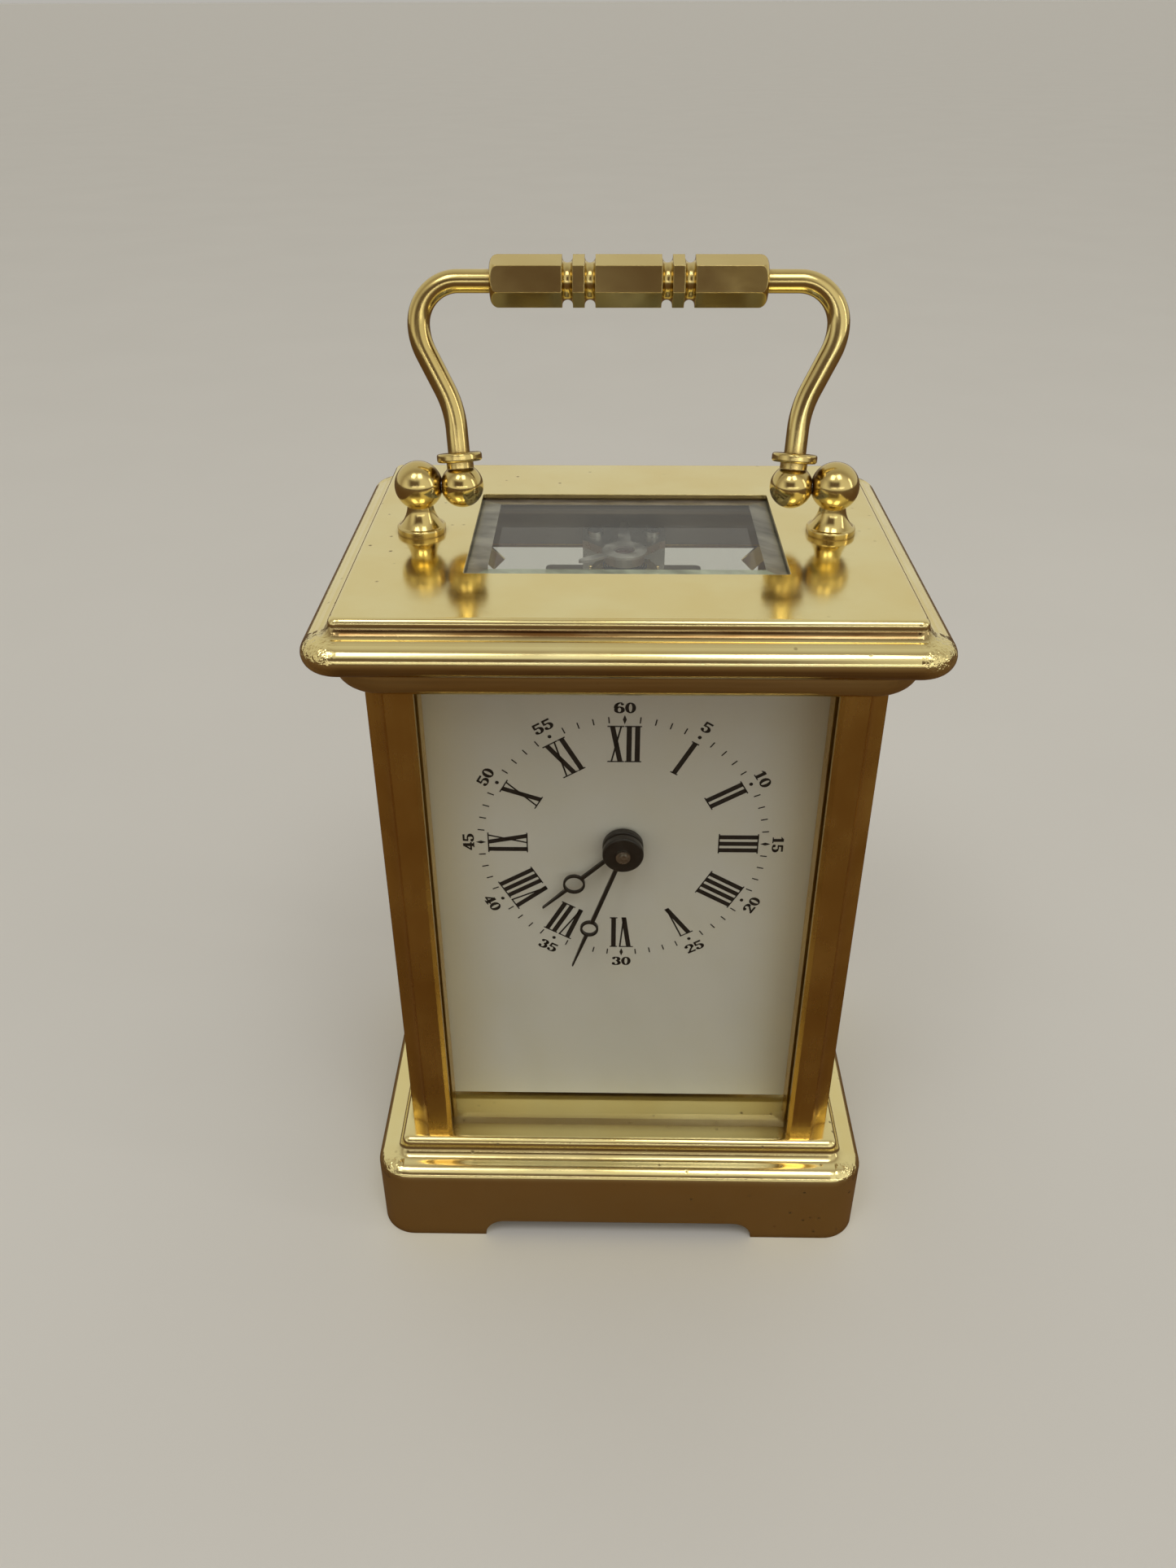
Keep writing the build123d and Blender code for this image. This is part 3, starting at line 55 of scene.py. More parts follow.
class NodeTree:
    """A node tree, with short calls to add and join nodes."""

    def __init__(self, tree):
        self.tree = tree
        self.tree.nodes.clear()

    def add(self, kind, inputs=None, **settings):
        node = self.tree.nodes.new(kind)
        for key, value in settings.items():
            setattr(node, key, value)
        for key, value in (inputs or {}).items():
            self.feed(node.inputs[key], value)
        return node

    def feed(self, socket, value):
        if isinstance(value, bpy.types.NodeSocket):
            self.tree.links.new(value, socket)
        else:
            socket.default_value = value

    def band(self, value, low, high, to_low=0.0, to_high=1.0):
        """to_low where value is at low, to_high where it is at high, and neither is passed."""
        return self.add("ShaderNodeMapRange", {"Value": value, "From Min": low, "From Max": high,
                                               "To Min": to_low, "To Max": to_high}).outputs[0]

    def math(self, operation, a, b=0.0):
        return self.add("ShaderNodeMath", {0: a, 1: b}, operation=operation).outputs[0]

    def product(self, first, *others):
        for other in others:
            first = self.math("MULTIPLY", first, other)
        return first

    def total(self, first, *others):
        for other in others:
            first = self.math("ADD", first, other)
        return first

    def mix(self, factor, a, b, blend="MIX"):
        node = self.add("ShaderNodeMix", data_type="RGBA", blend_type=blend)
        self.feed(node.inputs["Factor"], factor)
        self.feed(node.inputs[6], a)
        self.feed(node.inputs[7], b)
        return node.outputs[2]


class Shader(NodeTree):
    """A material's node tree. place holds the object's coordinates and axes splits them."""

    def __init__(self, name):
        self.material = bpy.data.materials.new(name)
        self.material.use_nodes = True
        super().__init__(self.material.node_tree)
        self.output = self.add("ShaderNodeOutputMaterial")
        self.place = self.add("ShaderNodeTexCoord").outputs["Object"]
        self.axes = self.add("ShaderNodeSeparateXYZ", {0: self.place}).outputs

    def off_middle(self, axis):
        return self.math("ABSOLUTE", self.axes[axis])

    def stretch(self, scale, turn=(0, 0, 0)):
        """The object's coordinates, turned and then scaled per axis."""
        turned = self.add("ShaderNodeMapping", {"Vector": self.place, "Rotation": turn})
        return self.add("ShaderNodeMapping", {"Vector": turned.outputs[0], "Scale": scale}).outputs[0]

    def noise(self, scale, detail=3.0, vector=None, rough=0.5):
        node = self.add("ShaderNodeTexNoise", {"Vector": vector or self.place, "Scale": scale,
                                               "Detail": detail, "Roughness": rough})
        return node.outputs["Fac"]

    def spots(self, scale, size):
        """1 inside small round spots, 0 outside."""
        cells = self.add("ShaderNodeTexVoronoi", {"Vector": self.place, "Scale": scale})
        return self.band(cells.outputs["Distance"], size, size * 0.4)

    def bump(self, height, distance, strength=1.0, normal=None):
        node = self.add("ShaderNodeBump", {"Height": height, "Distance": distance, "Strength": strength})
        if normal:
            self.feed(node.inputs["Normal"], normal)
        return node.outputs[0]

    def principled(self, **inputs):
        sockets = {key.replace("_", " "): value for key, value in inputs.items()}
        return self.add("ShaderNodeBsdfPrincipled", sockets).outputs[0]

    def blend(self, factor, a, b):
        """Surface a, turning into surface b as factor goes from 0 to 1."""
        return self.add("ShaderNodeMixShader", {0: factor, 1: a, 2: b}).outputs[0]

    def finish(self, surface):
        self.feed(self.output.inputs["Surface"], surface)
        return self.material


# ---------------------------------------------------------------- brass
TARNISHED = rgb(0.20, 0.10, 0.025)
PITTED = rgb(0.09, 0.05, 0.02)
# painted shade: the brown of the dark wood that the mouldings' hollows mirror, and the shade that falls in
# them
PAINTED_SHADE_BROWN = rgb(0.17, 0.080, 0.024)
UNPOLISHED = rgb(0.38, 0.34, 0.29)
FINE_BUFF = (900.0, 900.0, 2600.0)      # grain of a buffing wheel, as a scale per axis

# each pair runs from none of the effect to all of it
MOULDING_FACE_Y = (26.5 * MM, 27.5 * MM)    # painted shade bands begin forward of the pillars' faces
MOULDING_END_X = (39.0 * MM, 35.0 * MM)     # and fade out towards the mitres
ABOVE_BASE_BLOCK = (12.5 * MM, 14.0 * MM)   # only the mouldings are dented
CAVITY_EDGE = 0.1 * MM
SHADE_BAND_FADE = 0.3 * MM
DENT_DEPTH = 0.55 * MM


def hairlines(s):
    """Long hairline scratches in two directions, in patches."""
    rising = s.noise(1.0, 1.0, s.stretch((40.0, 5200.0, 40.0), (0.2, 0.1, 0.62)))
    falling = s.noise(1.0, 1.0, s.stretch((5200.0, 60.0, 60.0), (0.1, 0.3, 1.9)))
    lines = s.math("MAXIMUM", s.band(rising, 0.72, 0.78), s.band(falling, 0.73, 0.79))
    return s.product(lines, s.band(s.noise(55.0, 1.0), 0.5, 0.6))


def pits(s, amount):
    """Small dark pits, in patches."""
    return s.product(s.spots(420.0, 0.14), s.band(s.noise(38.0, 2.0), 0.54, 0.62), amount)


def hollows(s, amount):
    """Grooves and inner corners, which a polishing cloth doesn't reach."""
    open_air = s.add("ShaderNodeAmbientOcclusion", {"Distance": 2.2 * MM}, samples=6).outputs["AO"]
    return s.product(s.band(open_air, 0.75, 0.25), amount)


def stained(s, color, shade_bands):
    """Painted shade and dark reflection of wood, in bands along the front and back mouldings: low z, high z,
    amount.
    """
    outward = s.product(s.band(s.off_middle(1), *MOULDING_FACE_Y), s.band(s.off_middle(0), *MOULDING_END_X))
    streaks = s.noise(1.0, 4.0, s.stretch((55.0, 400.0, 900.0)), 0.65)
    for low, high, amount in shade_bands:
        above = s.band(s.axes[2], low - SHADE_BAND_FADE, low + SHADE_BAND_FADE)
        below = s.band(s.axes[2], high + SHADE_BAND_FADE, high - SHADE_BAND_FADE)
        patchy = s.band(streaks, 0.35, 0.62, amount * 0.75, amount)
        # paint the shade and dark reflection into this band of the mouldings
        color = s.mix(s.product(above, below, outward, patchy), color, PAINTED_SHADE_BROWN)
    return color


def within(s, half_x, half_y, low, high):
    """1 inside a box centred on the upright axis, 0 outside."""
    return s.product(s.band(s.off_middle(0), half_x + CAVITY_EDGE, half_x),
                     s.band(s.off_middle(1), half_y + CAVITY_EDGE, half_y),
                     s.band(s.axes[2], low - CAVITY_EDGE, low),
                     s.band(s.axes[2], high + CAVITY_EDGE, high))


def dented(s, normal, corner):
    """Knocks in the mouldings beyond corner, a plan position (x, y)."""
    near = [s.band(s.off_middle(axis), corner[axis] - 1.2 * MM, corner[axis] + 1.0 * MM) for axis in (0, 1)]
    place = s.product(near[0], near[1], s.band(s.axes[2], *ABOVE_BASE_BLOCK))
    return s.bump(s.product(s.noise(620.0, 3.0, rough=0.6), place), DENT_DEPTH, 1.0, normal)


def brass(name, bright, deep, rough=0.12, brush=FINE_BUFF, brushing=0.3, spotting=0.5, tarnish=0.6,
          worn_corner=None, cavity=None, shade_bands=()):
    """Polished, lacquered brass. brush is the stretch of its grain, and tarnish darkens its hollows.
    Its mouldings are dented beyond worn_corner (x, y) and darkened with painted shade and dark reflection in
    the listed bands, and the inside of cavity (half x, half y, low z, high z) was never polished."""
    s = Shader(name)
    clouds = s.noise(70.0, 4.0)
    smears = s.noise(1.0, 3.0, s.stretch((36.0, 120.0, 60.0), (0.3, 0.2, 0.5)))
    grain = s.noise(1.0, 2.0, s.stretch(brush))
    pitting = pits(s, spotting)
    hollow = hollows(s, tarnish)

    color = s.mix(s.band(clouds, 0.35, 0.7), bright, deep)
    color = s.mix(s.product(s.band(smears, 0.5, 0.75), 0.45), color, deep)
    color = s.mix(hollow, color, TARNISHED)
    # painted shade and dark reflection in bands along the mouldings
    if shade_bands:
        color = stained(s, color, shade_bands)
    color = s.mix(pitting, color, PITTED)

    roughness = s.total(s.band(s.noise(160.0, 3.0), 0.3, 0.7, rough * 0.7, rough * 1.35),
                        s.product(grain, brushing * 0.12), s.product(hollow, 0.25), s.product(pitting, 0.4))
    if cavity:
        inside = within(s, *cavity)
        color = s.mix(inside, color, UNPOLISHED)
        roughness = s.total(roughness, s.product(inside, 0.5))

    height = s.total(s.product(grain, brushing), s.product(hairlines(s), -0.5), s.product(pitting, -3.0))
    soft_edges = s.add("ShaderNodeBevel", {"Radius": 0.16 * MM}, samples=4).outputs[0]
    normal = s.bump(height, 0.006 * MM, 1.0, soft_edges)
    normal = s.bump(s.noise(120.0, 1.0), 0.05 * MM, 0.5, normal)
    if worn_corner:
        normal = dented(s, normal, worn_corner)
    return s.finish(s.principled(Base_Color=color, Metallic=1.0, Roughness=roughness, Normal=normal))


# ---------------------------------------------------------------- other materials
def steel(name, color, rough=0.22, grain_scale=(300.0, 300.0, 3000.0)):
    s = Shader(name)
    grain = s.noise(1.0, 2.0, s.stretch(grain_scale))
    tone = s.mix(s.band(s.noise(150.0, 3.0), 0.35, 0.7), color, scaled(color, 0.72))
    roughness = s.band(grain, 0.3, 0.7, rough * 0.75, rough * 1.4)
    return s.finish(s.principled(Base_Color=tone, Metallic=1.0, Roughness=roughness,
                                 Normal=s.bump(grain, 0.008 * MM, 0.6)))


def enamel(name, middle, side_reflection_and_yellowing, half_width):
    """Satin white sheet with faint yellowed patches, and painted shade and yellow reflection of the brass
    pillars towards its two sides.
    """
    s = Shader(name)
    # painted shade and reflection: darker and yellower towards both sides, where the brass pillars' light
    # falls
    side = s.band(s.off_middle(0), half_width * 0.62, half_width)
    color = s.mix(s.product(side, 0.8), middle, side_reflection_and_yellowing)
    color = s.mix(s.band(s.noise(90.0, 4.0), 0.45, 0.8, 0.0, 0.25), color, side_reflection_and_yellowing)
    grain = s.noise(1500.0, 2.0)
    roughness = s.band(s.noise(200.0, 2.0), 0.3, 0.7, 0.38, 0.5)
    return s.finish(s.principled(Base_Color=color, Roughness=roughness, Normal=s.bump(grain, 0.01 * MM, 0.5)))


def paint(name, color, rough=0.35):
    s = Shader(name)
    tone = s.mix(s.band(s.noise(700.0, 3.0), 0.4, 0.8), color, scaled(color, 1.9, 0.004))
    roughness = s.band(s.noise(900.0, 2.0), 0.3, 0.7, rough * 0.8, rough * 1.25)
    return s.finish(s.principled(Base_Color=tone, Roughness=roughness,
                                 Normal=s.bump(s.noise(2500.0, 2.0), 0.01 * MM, 0.5)))


def glass(name, tint, bevels=()):
    """Clear sheet glass with faint smears. It is too thin to bend the view. The room's light in its bevels is
    painted on
    them as a colour: bevels has an axis, a side of it, a tone and an amount for each way
    that they slope."""
    s = Shader(name)
    smears = s.noise(1.0, 4.0, s.stretch((60.0, 60.0, 18.0), (0.0, 0.4, 0.3)))
    smeared = s.band(smears, 0.5, 0.8, 0.0, 0.12)
    normal = s.bump(s.noise(25.0, 1.0), 0.02 * MM, 0.3)
    mirror = s.add("ShaderNodeBsdfGlossy", {"Roughness": smeared, "Normal": normal}).outputs[0]
    hazed = s.mix(s.product(smeared, 2.5), tint, rgb(0.86, 0.88, 0.85))
    surface = s.add("ShaderNodeBsdfTransparent", {"Color": hazed}).outputs[0]
    grazing = s.add("ShaderNodeLayerWeight", {"Blend": 0.5, "Normal": normal}).outputs["Facing"]
    mirroring = s.total(s.product(s.math("POWER", grazing, 5.0), 0.9), 0.035)
    surface = s.blend(mirroring, surface, mirror)

    slopes = s.add("ShaderNodeNewGeometry").outputs["True Normal"]
    slopes = s.add("ShaderNodeSeparateXYZ", {0: slopes}).outputs
    streaks = s.band(s.noise(1.0, 2.0, s.stretch((200.0, 420.0, 60.0), (0.0, 0.0, 0.5))), 0.3, 0.7)
    for axis, side, tone, amount in bevels:
        slope = s.product(slopes[axis], float(side))
        sloping = s.product(s.band(slope, 0.02, 0.08), s.band(slope, 0.9, 0.8))
        # painted light: the room seen through the bevel, laid on as a colour
        painted_bevel_light = s.principled(Base_Color=s.mix(streaks, tone, scaled(tone, 0.55)), Roughness=0.3)
        shown = s.product(sloping, s.band(streaks, 0.0, 1.0, amount, amount * 0.7))
        surface = s.blend(shown, surface, painted_bevel_light)

    # light on its way to something else passes straight through
    through = s.add("ShaderNodeBsdfTransparent", {"Color": tint}).outputs[0]
    path = s.add("ShaderNodeLightPath").outputs
    passing = s.math("MAXIMUM", path["Is Shadow Ray"], path["Is Diffuse Ray"])
    return s.finish(s.blend(passing, surface, through))


def jewel(name, color):
    s = Shader(name)
    tone = s.mix(s.noise(900.0, 2.0), color, scaled(color, 0.6))
    return s.finish(s.principled(Base_Color=tone, Roughness=0.08, IOR=1.76, Transmission_Weight=0.5,
                                 Normal=s.bump(s.noise(500.0, 1.0), 0.01 * MM, 0.3)))


ARBOR_BRASS_END = -20.0 * MM            # forward of this the arbor is bare steel


def arbor_metal(name):
    """Brass wheelwork whose front end, where it shows through the hands, is bare grey steel."""
    s = Shader(name)
    front = s.band(s.axes[1], ARBOR_BRASS_END, ARBOR_BRASS_END - 0.2 * MM)
    grain = s.noise(1800.0, 3.0)
    wheelwork = s.mix(grain, rgb(0.84, 0.70, 0.36), rgb(0.72, 0.56, 0.26))
    bare = s.mix(s.band(grain, 0.4, 0.6), rgb(0.50, 0.47, 0.42), rgb(0.30, 0.27, 0.23))
    roughness = s.band(grain, 0.3, 0.7, 0.25, 0.45)
    return s.finish(s.principled(Base_Color=s.mix(front, wheelwork, bare), Metallic=1.0,
                                 Roughness=roughness, Normal=s.bump(grain, 0.03 * MM)))


# ---------------------------------------------------------------- what each node is made of
DIAL_LOW, DIAL_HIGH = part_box("dial")
# where the case's mouldings mitre, the well under its top glass, and the bands of its mouldings
# that are given painted shade and dark reflection (low z, high z, amount)
CASE_CORNER = (36.5 * MM, 29.0 * MM)
CASE_CAVITY = (27.1 * MM, 22.1 * MM, 101.0 * MM, 111.0 * MM)
CORNICE_COVE = (110.5 * MM, 111.6 * MM, 1.0)
CORNICE_ROLL = (105.2 * MM, 107.9 * MM, 0.7)
CORNICE_BEAD = (102.4 * MM, 104.9 * MM, 0.4)
BASE_COVE = (15.6 * MM, 17.0 * MM, 0.4)
BACK, FRONT, LEFT, RIGHT = (1, 1), (1, -1), (0, -1), (0, 1)     # axis and side of a bevel's slope

materials = {
    "case": brass("case_brass", rgb(0.90, 0.79, 0.40), rgb(0.86, 0.71, 0.31), tarnish=0.8, spotting=0.7,
                  worn_corner=CASE_CORNER, cavity=CASE_CAVITY,
                  shade_bands=(CORNICE_COVE, CORNICE_ROLL, CORNICE_BEAD, BASE_COVE)),
    "pillar": brass("pillar_brass", rgb(0.80, 0.56, 0.16), rgb(0.60, 0.38, 0.09), rough=0.2,
                    brush=(1800.0, 1800.0, 40.0), brushing=0.8, spotting=0.1, tarnish=0.5),
    "handle": brass("handle_brass", rgb(0.72, 0.58, 0.24), rgb(0.64, 0.49, 0.18), rough=0.13, tarnish=1.0,
                    spotting=0.3),
    "plate": brass("plate_brass", rgb(0.80, 0.63, 0.32), rgb(0.72, 0.55, 0.25), rough=0.26,
                   brush=(2200.0, 60.0, 60.0), brushing=0.8, spotting=0.1, tarnish=0.3),
    "wheel": brass("wheel_brass", rgb(0.84, 0.68, 0.36), rgb(0.74, 0.57, 0.27), rough=0.2, spotting=0.1,
                   tarnish=0.3),
    "arbor": arbor_metal("arbor_metal"),
    "steel": steel("polished_steel", rgb(0.62, 0.62, 0.61)),
    "plated": steel("frosted_plate", rgb(0.72, 0.70, 0.64), 0.34, (1400.0, 1400.0, 1400.0)),
    "satin": steel("satin_steel", rgb(0.86, 0.84, 0.80), 0.5, (500.0, 500.0, 500.0)),
    "blued": steel("blued_steel", rgb(0.07, 0.12, 0.34), 0.2),
    # the second colour is the painted pillar reflection and shade at the dial's sides, and its faint yellowed
    # patches
    "dial": enamel("dial_white", rgb(0.80, 0.78, 0.72), rgb(0.74, 0.68, 0.48),
                   (DIAL_HIGH.x - DIAL_LOW.x) / 2),
    "black": paint("hand_black", rgb(0.008, 0.007, 0.006)),
    "ink": paint("dial_ink", rgb(0.006, 0.005, 0.005), 0.5),
    "glass": glass("clear_glass", rgb(0.965, 0.975, 0.96)),
    # the bevels' tones are painted light, darker at the back and the sides
    "bevelled": glass("bevelled_glass", rgb(0.95, 0.96, 0.945), (
        (*FRONT, rgb(0.46, 0.52, 0.38), 0.9), (*BACK, rgb(0.26, 0.23, 0.20), 0.85),
        (*LEFT, rgb(0.36, 0.35, 0.28), 0.9), (*RIGHT, rgb(0.28, 0.27, 0.21), 0.9))),
    "ruby": jewel("ruby", rgb(0.16, 0.05, 0.05)),
}

FINISH = {
    "case": ["base", "top_frame", "top_glass_retainer", "rear_glass_clips", "rear_door_knob"],
    "pillar": ["pillar_front_left", "pillar_front_right", "pillar_rear_left", "pillar_rear_right",
               "rear_door_frame"],
    "handle": ["handle_post_left", "handle_post_right", "handle_ball_left", "handle_ball_right",
               "handle_arm_left", "handle_arm_right", "handle_grip"],
    "plate": ["front_plate", "back_plate", "movement_seats", "barrel_cover"],
    "wheel": ["plate_pillars", "barrel", "intermediate_wheel", "third_wheel", "contrate_wheel",
              "minute_wheel", "hour_wheel", "lower_potence", "escape_wheel", "balance_wheel"],
    "arbor": ["centre_wheel", "cannon_pinion"],
    "steel": ["pillar_tie_rods", "rear_door_hinge_pins", "handle_pivot_pins", "plate_screws",
              "movement_mount_screws", "small_screws", "barrel_arbor", "ratchet_wheel", "click",
              "click_spring", "mainspring", "pallet_lever"],
    "plated": ["platform_plate", "balance_cock", "escapement_cock"],
    "satin": ["regulator_index"],
    "blued": ["hairspring"],
    "dial": ["dial"],
    "black": ["hour_hand", "minute_hand"],
    "bevelled": ["top_glass"],
    "glass": ["front_glass", "left_glass", "right_glass", "rear_door_glass"],
    "ruby": ["balance_jewel"],
}
for finish_name, members in FINISH.items():
    for member in members:
        slots = nodes[member].data.materials
        slots.clear()
        slots.append(materials[finish_name])


# ---------------------------------------------------------------- meshes
def mesh_object(name, verts, faces, material):
    mesh = bpy.data.meshes.new(name)
    mesh.from_pydata(verts, [], faces)
    mesh.update()
    mesh.materials.append(material)
    made = bpy.data.objects.new(name, mesh)
    scene.collection.objects.link(made)
    return made


# ---------------------------------------------------------------- printing on the dial
HOUR_WHEEL_LOW, HOUR_WHEEL_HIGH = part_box("hour_wheel")
CENTRE_Z = (HOUR_WHEEL_LOW.z + HOUR_WHEEL_HIGH.z) / 2
INK = 0.02 * MM                     # how far the printing stands off the dial
HOUR_INNER = 14.0 * MM
HOUR_OUTER = 19.9 * MM
HOUR_HEIGHT = HOUR_OUTER - HOUR_INNER
THICK = 0.72 * MM                   # thick stroke of an hour numeral
THIN = 0.19 * MM                    # its serifs
LEAN = 1.3 * THIN                   # its thin slanting stroke
SERIF = 0.32 * MM
I_WIDTH = 1.17 * MM
WIDE = 2.1 * I_WIDTH                # width of a V or an X
LETTER_WIDTH = {"I": I_WIDTH, "V": WIDE, "X": WIDE}
HOURS = ("I", "II", "III", "IIII", "V", "VI", "VII", "VIII", "IX", "X", "XI", "XII")

TRACK_R = 20.9 * MM                 # ring of the minute marks
MARK_LENGTH = 1.0 * MM
MARK_WIDTH = 0.19 * MM
DOT_R = 0.28 * MM
LOZENGE = (0.27 * MM, 0.75 * MM)    # half its width and half its height
FIGURE_R = 22.75 * MM
FIGURE_HEIGHT = 1.65 * MM
FIGURE_STEP = 0.92 * FIGURE_HEIGHT
FIGURE_WIDEN = 1.5                  # the minute figures are an extended letter
FAT = 0.21 * FIGURE_HEIGHT
SLIM = 0.10 * FIGURE_HEIGHT


class Print:
    """Flat shapes on the dial, each a closed slab of ink half sunk in its face."""

    def __init__(self):
        self.verts = []
        self.faces = []

    def shape(self, outline, place):
        """outline: points of a convex shape, anticlockwise. place turns them into dial x and z."""
        spots = [place(x, y) for x, y in outline]
        first = len(self.verts)
        count = len(spots)
        for y in (DIAL_LOW.y - INK, DIAL_LOW.y + INK):
            self.verts += [(spot[0], y, spot[1]) for spot in spots]
        self.faces.append([first + i for i in range(count)])
        self.faces.append([first + count + i for i in reversed(range(count))])
        for i in range(count):
            j = (i + 1) % count
            self.faces.append([first + j, first + i, first + count + i, first + count + j])


def radial(angle, radius, flip=False):
    """A glyph's own x (right) and y (up) put at a place round the dial; flip stands it feet outwards."""
    turn = math.radians(angle)
    out = Vector((math.sin(turn), math.cos(turn)))
    side = Vector((math.cos(turn), -math.sin(turn)))
    sign = -1.0 if flip else 1.0

    def put(x, y):
        spot = out * (radius + sign * y) + side * (sign * x)
        return (spot.x, CENTRE_Z + spot.y)
    return put


def bar(x0, y0, x1, y1, width):
    """A slanting stroke with level ends."""
    return [(x0 - width / 2, y0), (x0 + width / 2, y0), (x1 + width / 2, y1), (x1 - width / 2, y1)]


def level(x0, x1, y, width):
    return [(x0, y - width / 2), (x1, y - width / 2), (x1, y + width / 2), (x0, y + width / 2)]


def roman(ink, text, angle):
    """Hour numeral with its feet towards the centre, thick and thin strokes joined by hairline serifs."""
    put = radial(angle, HOUR_INNER)
    foot_line, head_line = THIN / 2, HOUR_HEIGHT - THIN / 2
    x = -sum(LETTER_WIDTH[letter] for letter in text) / 2
    for letter in text:
        wide = LETTER_WIDTH[letter]
        left = x + 0.28 * wide
        right = x + 0.74 * wide
        if letter == "I":
            stem = x + wide / 2
            reach = THICK / 2 + 0.7 * SERIF
            ink.shape(bar(stem, 0, stem, HOUR_HEIGHT, THICK), put)
            for y in (foot_line, head_line):
                ink.shape(level(stem - reach, stem + reach, y, THIN), put)
        elif letter == "V":
            foot = (left + right) / 2 + 0.1 * wide
            ink.shape(bar(foot, 0, left, HOUR_HEIGHT, THICK), put)
            ink.shape(bar(foot, 0, right + 0.1 * wide, HOUR_HEIGHT, LEAN), put)
            ink.shape(level(left - THICK / 2 - SERIF, right + 1.2 * SERIF, head_line, THIN), put)
        else:
            ink.shape(bar(right, 0, left, HOUR_HEIGHT, THICK), put)
            ink.shape(bar(left - 0.05 * wide, 0, right + 0.05 * wide, HOUR_HEIGHT, LEAN), put)
            for y in (foot_line, head_line):
                ink.shape(level(left - THICK / 2 - SERIF, right + THICK / 2 + 0.6 * SERIF, y, THIN), put)
        x += wide


def ribbon(ink, put, path, widths):
    """A pen stroke along a path of points, with a width at each. Its pieces overlap a little."""
    for i in range(len(path) - 1):
        start, end = Vector(path[i]), Vector(path[i + 1])
        along = (end - start).normalized()
        side = Vector((-along.y, along.x))
        overlap = along * 0.02 * FIGURE_HEIGHT
        start, end = start - overlap, end + overlap
        a, b = side * widths[i] / 2, side * widths[i + 1] / 2
        ink.shape([tuple(start - a), tuple(end - b), tuple(end + b), tuple(start + a)], put)


def arc_path(cx, cy, rx, ry, start, end, count=14):
    """Points along part of an ellipse, from one angle in degrees to another."""
    spots = []
    for i in range(count + 1):
        a = math.radians(start + (end - start) * i / count)
        spots.append((cx + rx * math.cos(a), cy + ry * math.sin(a)))
    return spots


def disc(x, y, radius):
    return arc_path(x, y, radius, radius, 0, 330, 11)


def figure(ink, put, digit, shift):
    """One bold upright numeral with serifs. Its own x and y are shares of its height."""
    h = FIGURE_HEIGHT

    def at(x, y):
        return put(FIGURE_WIDEN * x + shift, y)

    def bowl(cx, cy, rx, ry, start, end):
        path = arc_path(cx * h, cy * h, rx * h, ry * h, start, end)
        widths = []
        for i in range(len(path)):
            a = math.radians(start + (end - start) * i / (len(path) - 1))
            widths.append(SLIM + (FAT - SLIM) * abs(math.cos(a)) ** 1.3)
        ribbon(ink, at, path, widths)

    def dot(cx, cy, r):
        ink.shape(disc(cx * h, cy * h, r * h), at)

    def stroke(x0, y0, x1, y1, w):
        ink.shape(bar(x0 * h, y0 * h, x1 * h, y1 * h, w), at)

    def flat(x0, x1, y, w):
        ink.shape(level(x0 * h, x1 * h, y * h, w), at)

    if digit == "0":
        bowl(0, 0.5, 0.2, 0.46, 0, 360)
    elif digit == "1":
        stroke(0.03, 0, 0.03, 1.0, FAT)
        flat(-0.18, 0.24, 0.04, SLIM)
        stroke(-0.16, 0.76, 0.0, 0.96, SLIM * 1.6)
    elif digit == "2":
        bowl(0, 0.71, 0.2, 0.25, 170, -35)
        stroke(-0.22, 0.06, 0.13, 0.56, FAT * 0.8)
        flat(-0.28, 0.27, 0.09, FAT * 0.85)
        dot(-0.17, 0.73, 0.10)
    elif digit == "3":
        bowl(-0.02, 0.74, 0.18, 0.22, 150, -80)
        bowl(-0.02, 0.28, 0.21, 0.25, 80, -150)
        dot(-0.16, 0.80, 0.10)
        dot(-0.18, 0.22, 0.10)
    elif digit == "4":
        stroke(0.1, 0, 0.1, 1.0, FAT)
        stroke(-0.24, 0.3, 0.08, 0.96, SLIM * 1.3)
        flat(-0.29, 0.3, 0.29, SLIM * 1.5)
        flat(-0.08, 0.28, 0.04, SLIM)
    elif digit == "5":
        stroke(-0.18, 0.5, -0.16, 0.98, SLIM * 1.3)
        flat(-0.2, 0.24, 0.91, FAT * 0.85)
        bowl(-0.02, 0.31, 0.21, 0.27, 120, -150)
        dot(-0.18, 0.22, 0.10)
    elif digit == "6":
        bowl(0.0, 0.31, 0.2, 0.27, 0, 360)
        bowl(0.06, 0.52, 0.27, 0.45, 75, 185)
        dot(0.16, 0.84, 0.095)


def minutes_figure(ink, minute):
    """The minute's number, upright above the centre and upright below it."""
    angle = minute * 6.0
    flip = 90.0 < angle % 360.0 < 270.0
    put = radial(angle, FIGURE_R + (0.5 if flip else -0.5) * FIGURE_HEIGHT, flip)
    text = str(minute)
    for i, digit in enumerate(text):
        figure(ink, put, digit, (i - (len(text) - 1) / 2) * FIGURE_STEP)


def minute_mark(ink, minute):
    put = radial(minute * 6.0, TRACK_R)
    if minute % 15 == 0:
        x, y = LOZENGE
        ink.shape([(0.0, -y), (x, 0.0), (0.0, y), (-x, 0.0)], put)
    elif minute % 5 == 0:
        ink.shape(disc(0, 0, DOT_R), put)
    else:
        ink.shape(level(-MARK_WIDTH / 2, MARK_WIDTH / 2, 0.0, MARK_LENGTH), put)


def dial_printing():
    ink = Print()
    for hour, text in enumerate(HOURS, 1):
        roman(ink, text, hour * 30.0)
        minutes_figure(ink, hour * 5)
    for minute in range(60):
        minute_mark(ink, minute)
    piece = mesh_object("dial_printing", ink.verts, ink.faces, materials["ink"])
    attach(piece, "case")


dial_printing()


# ---------------------------------------------------------------- stage, light and camera
FLOOR_HALF = 60.0


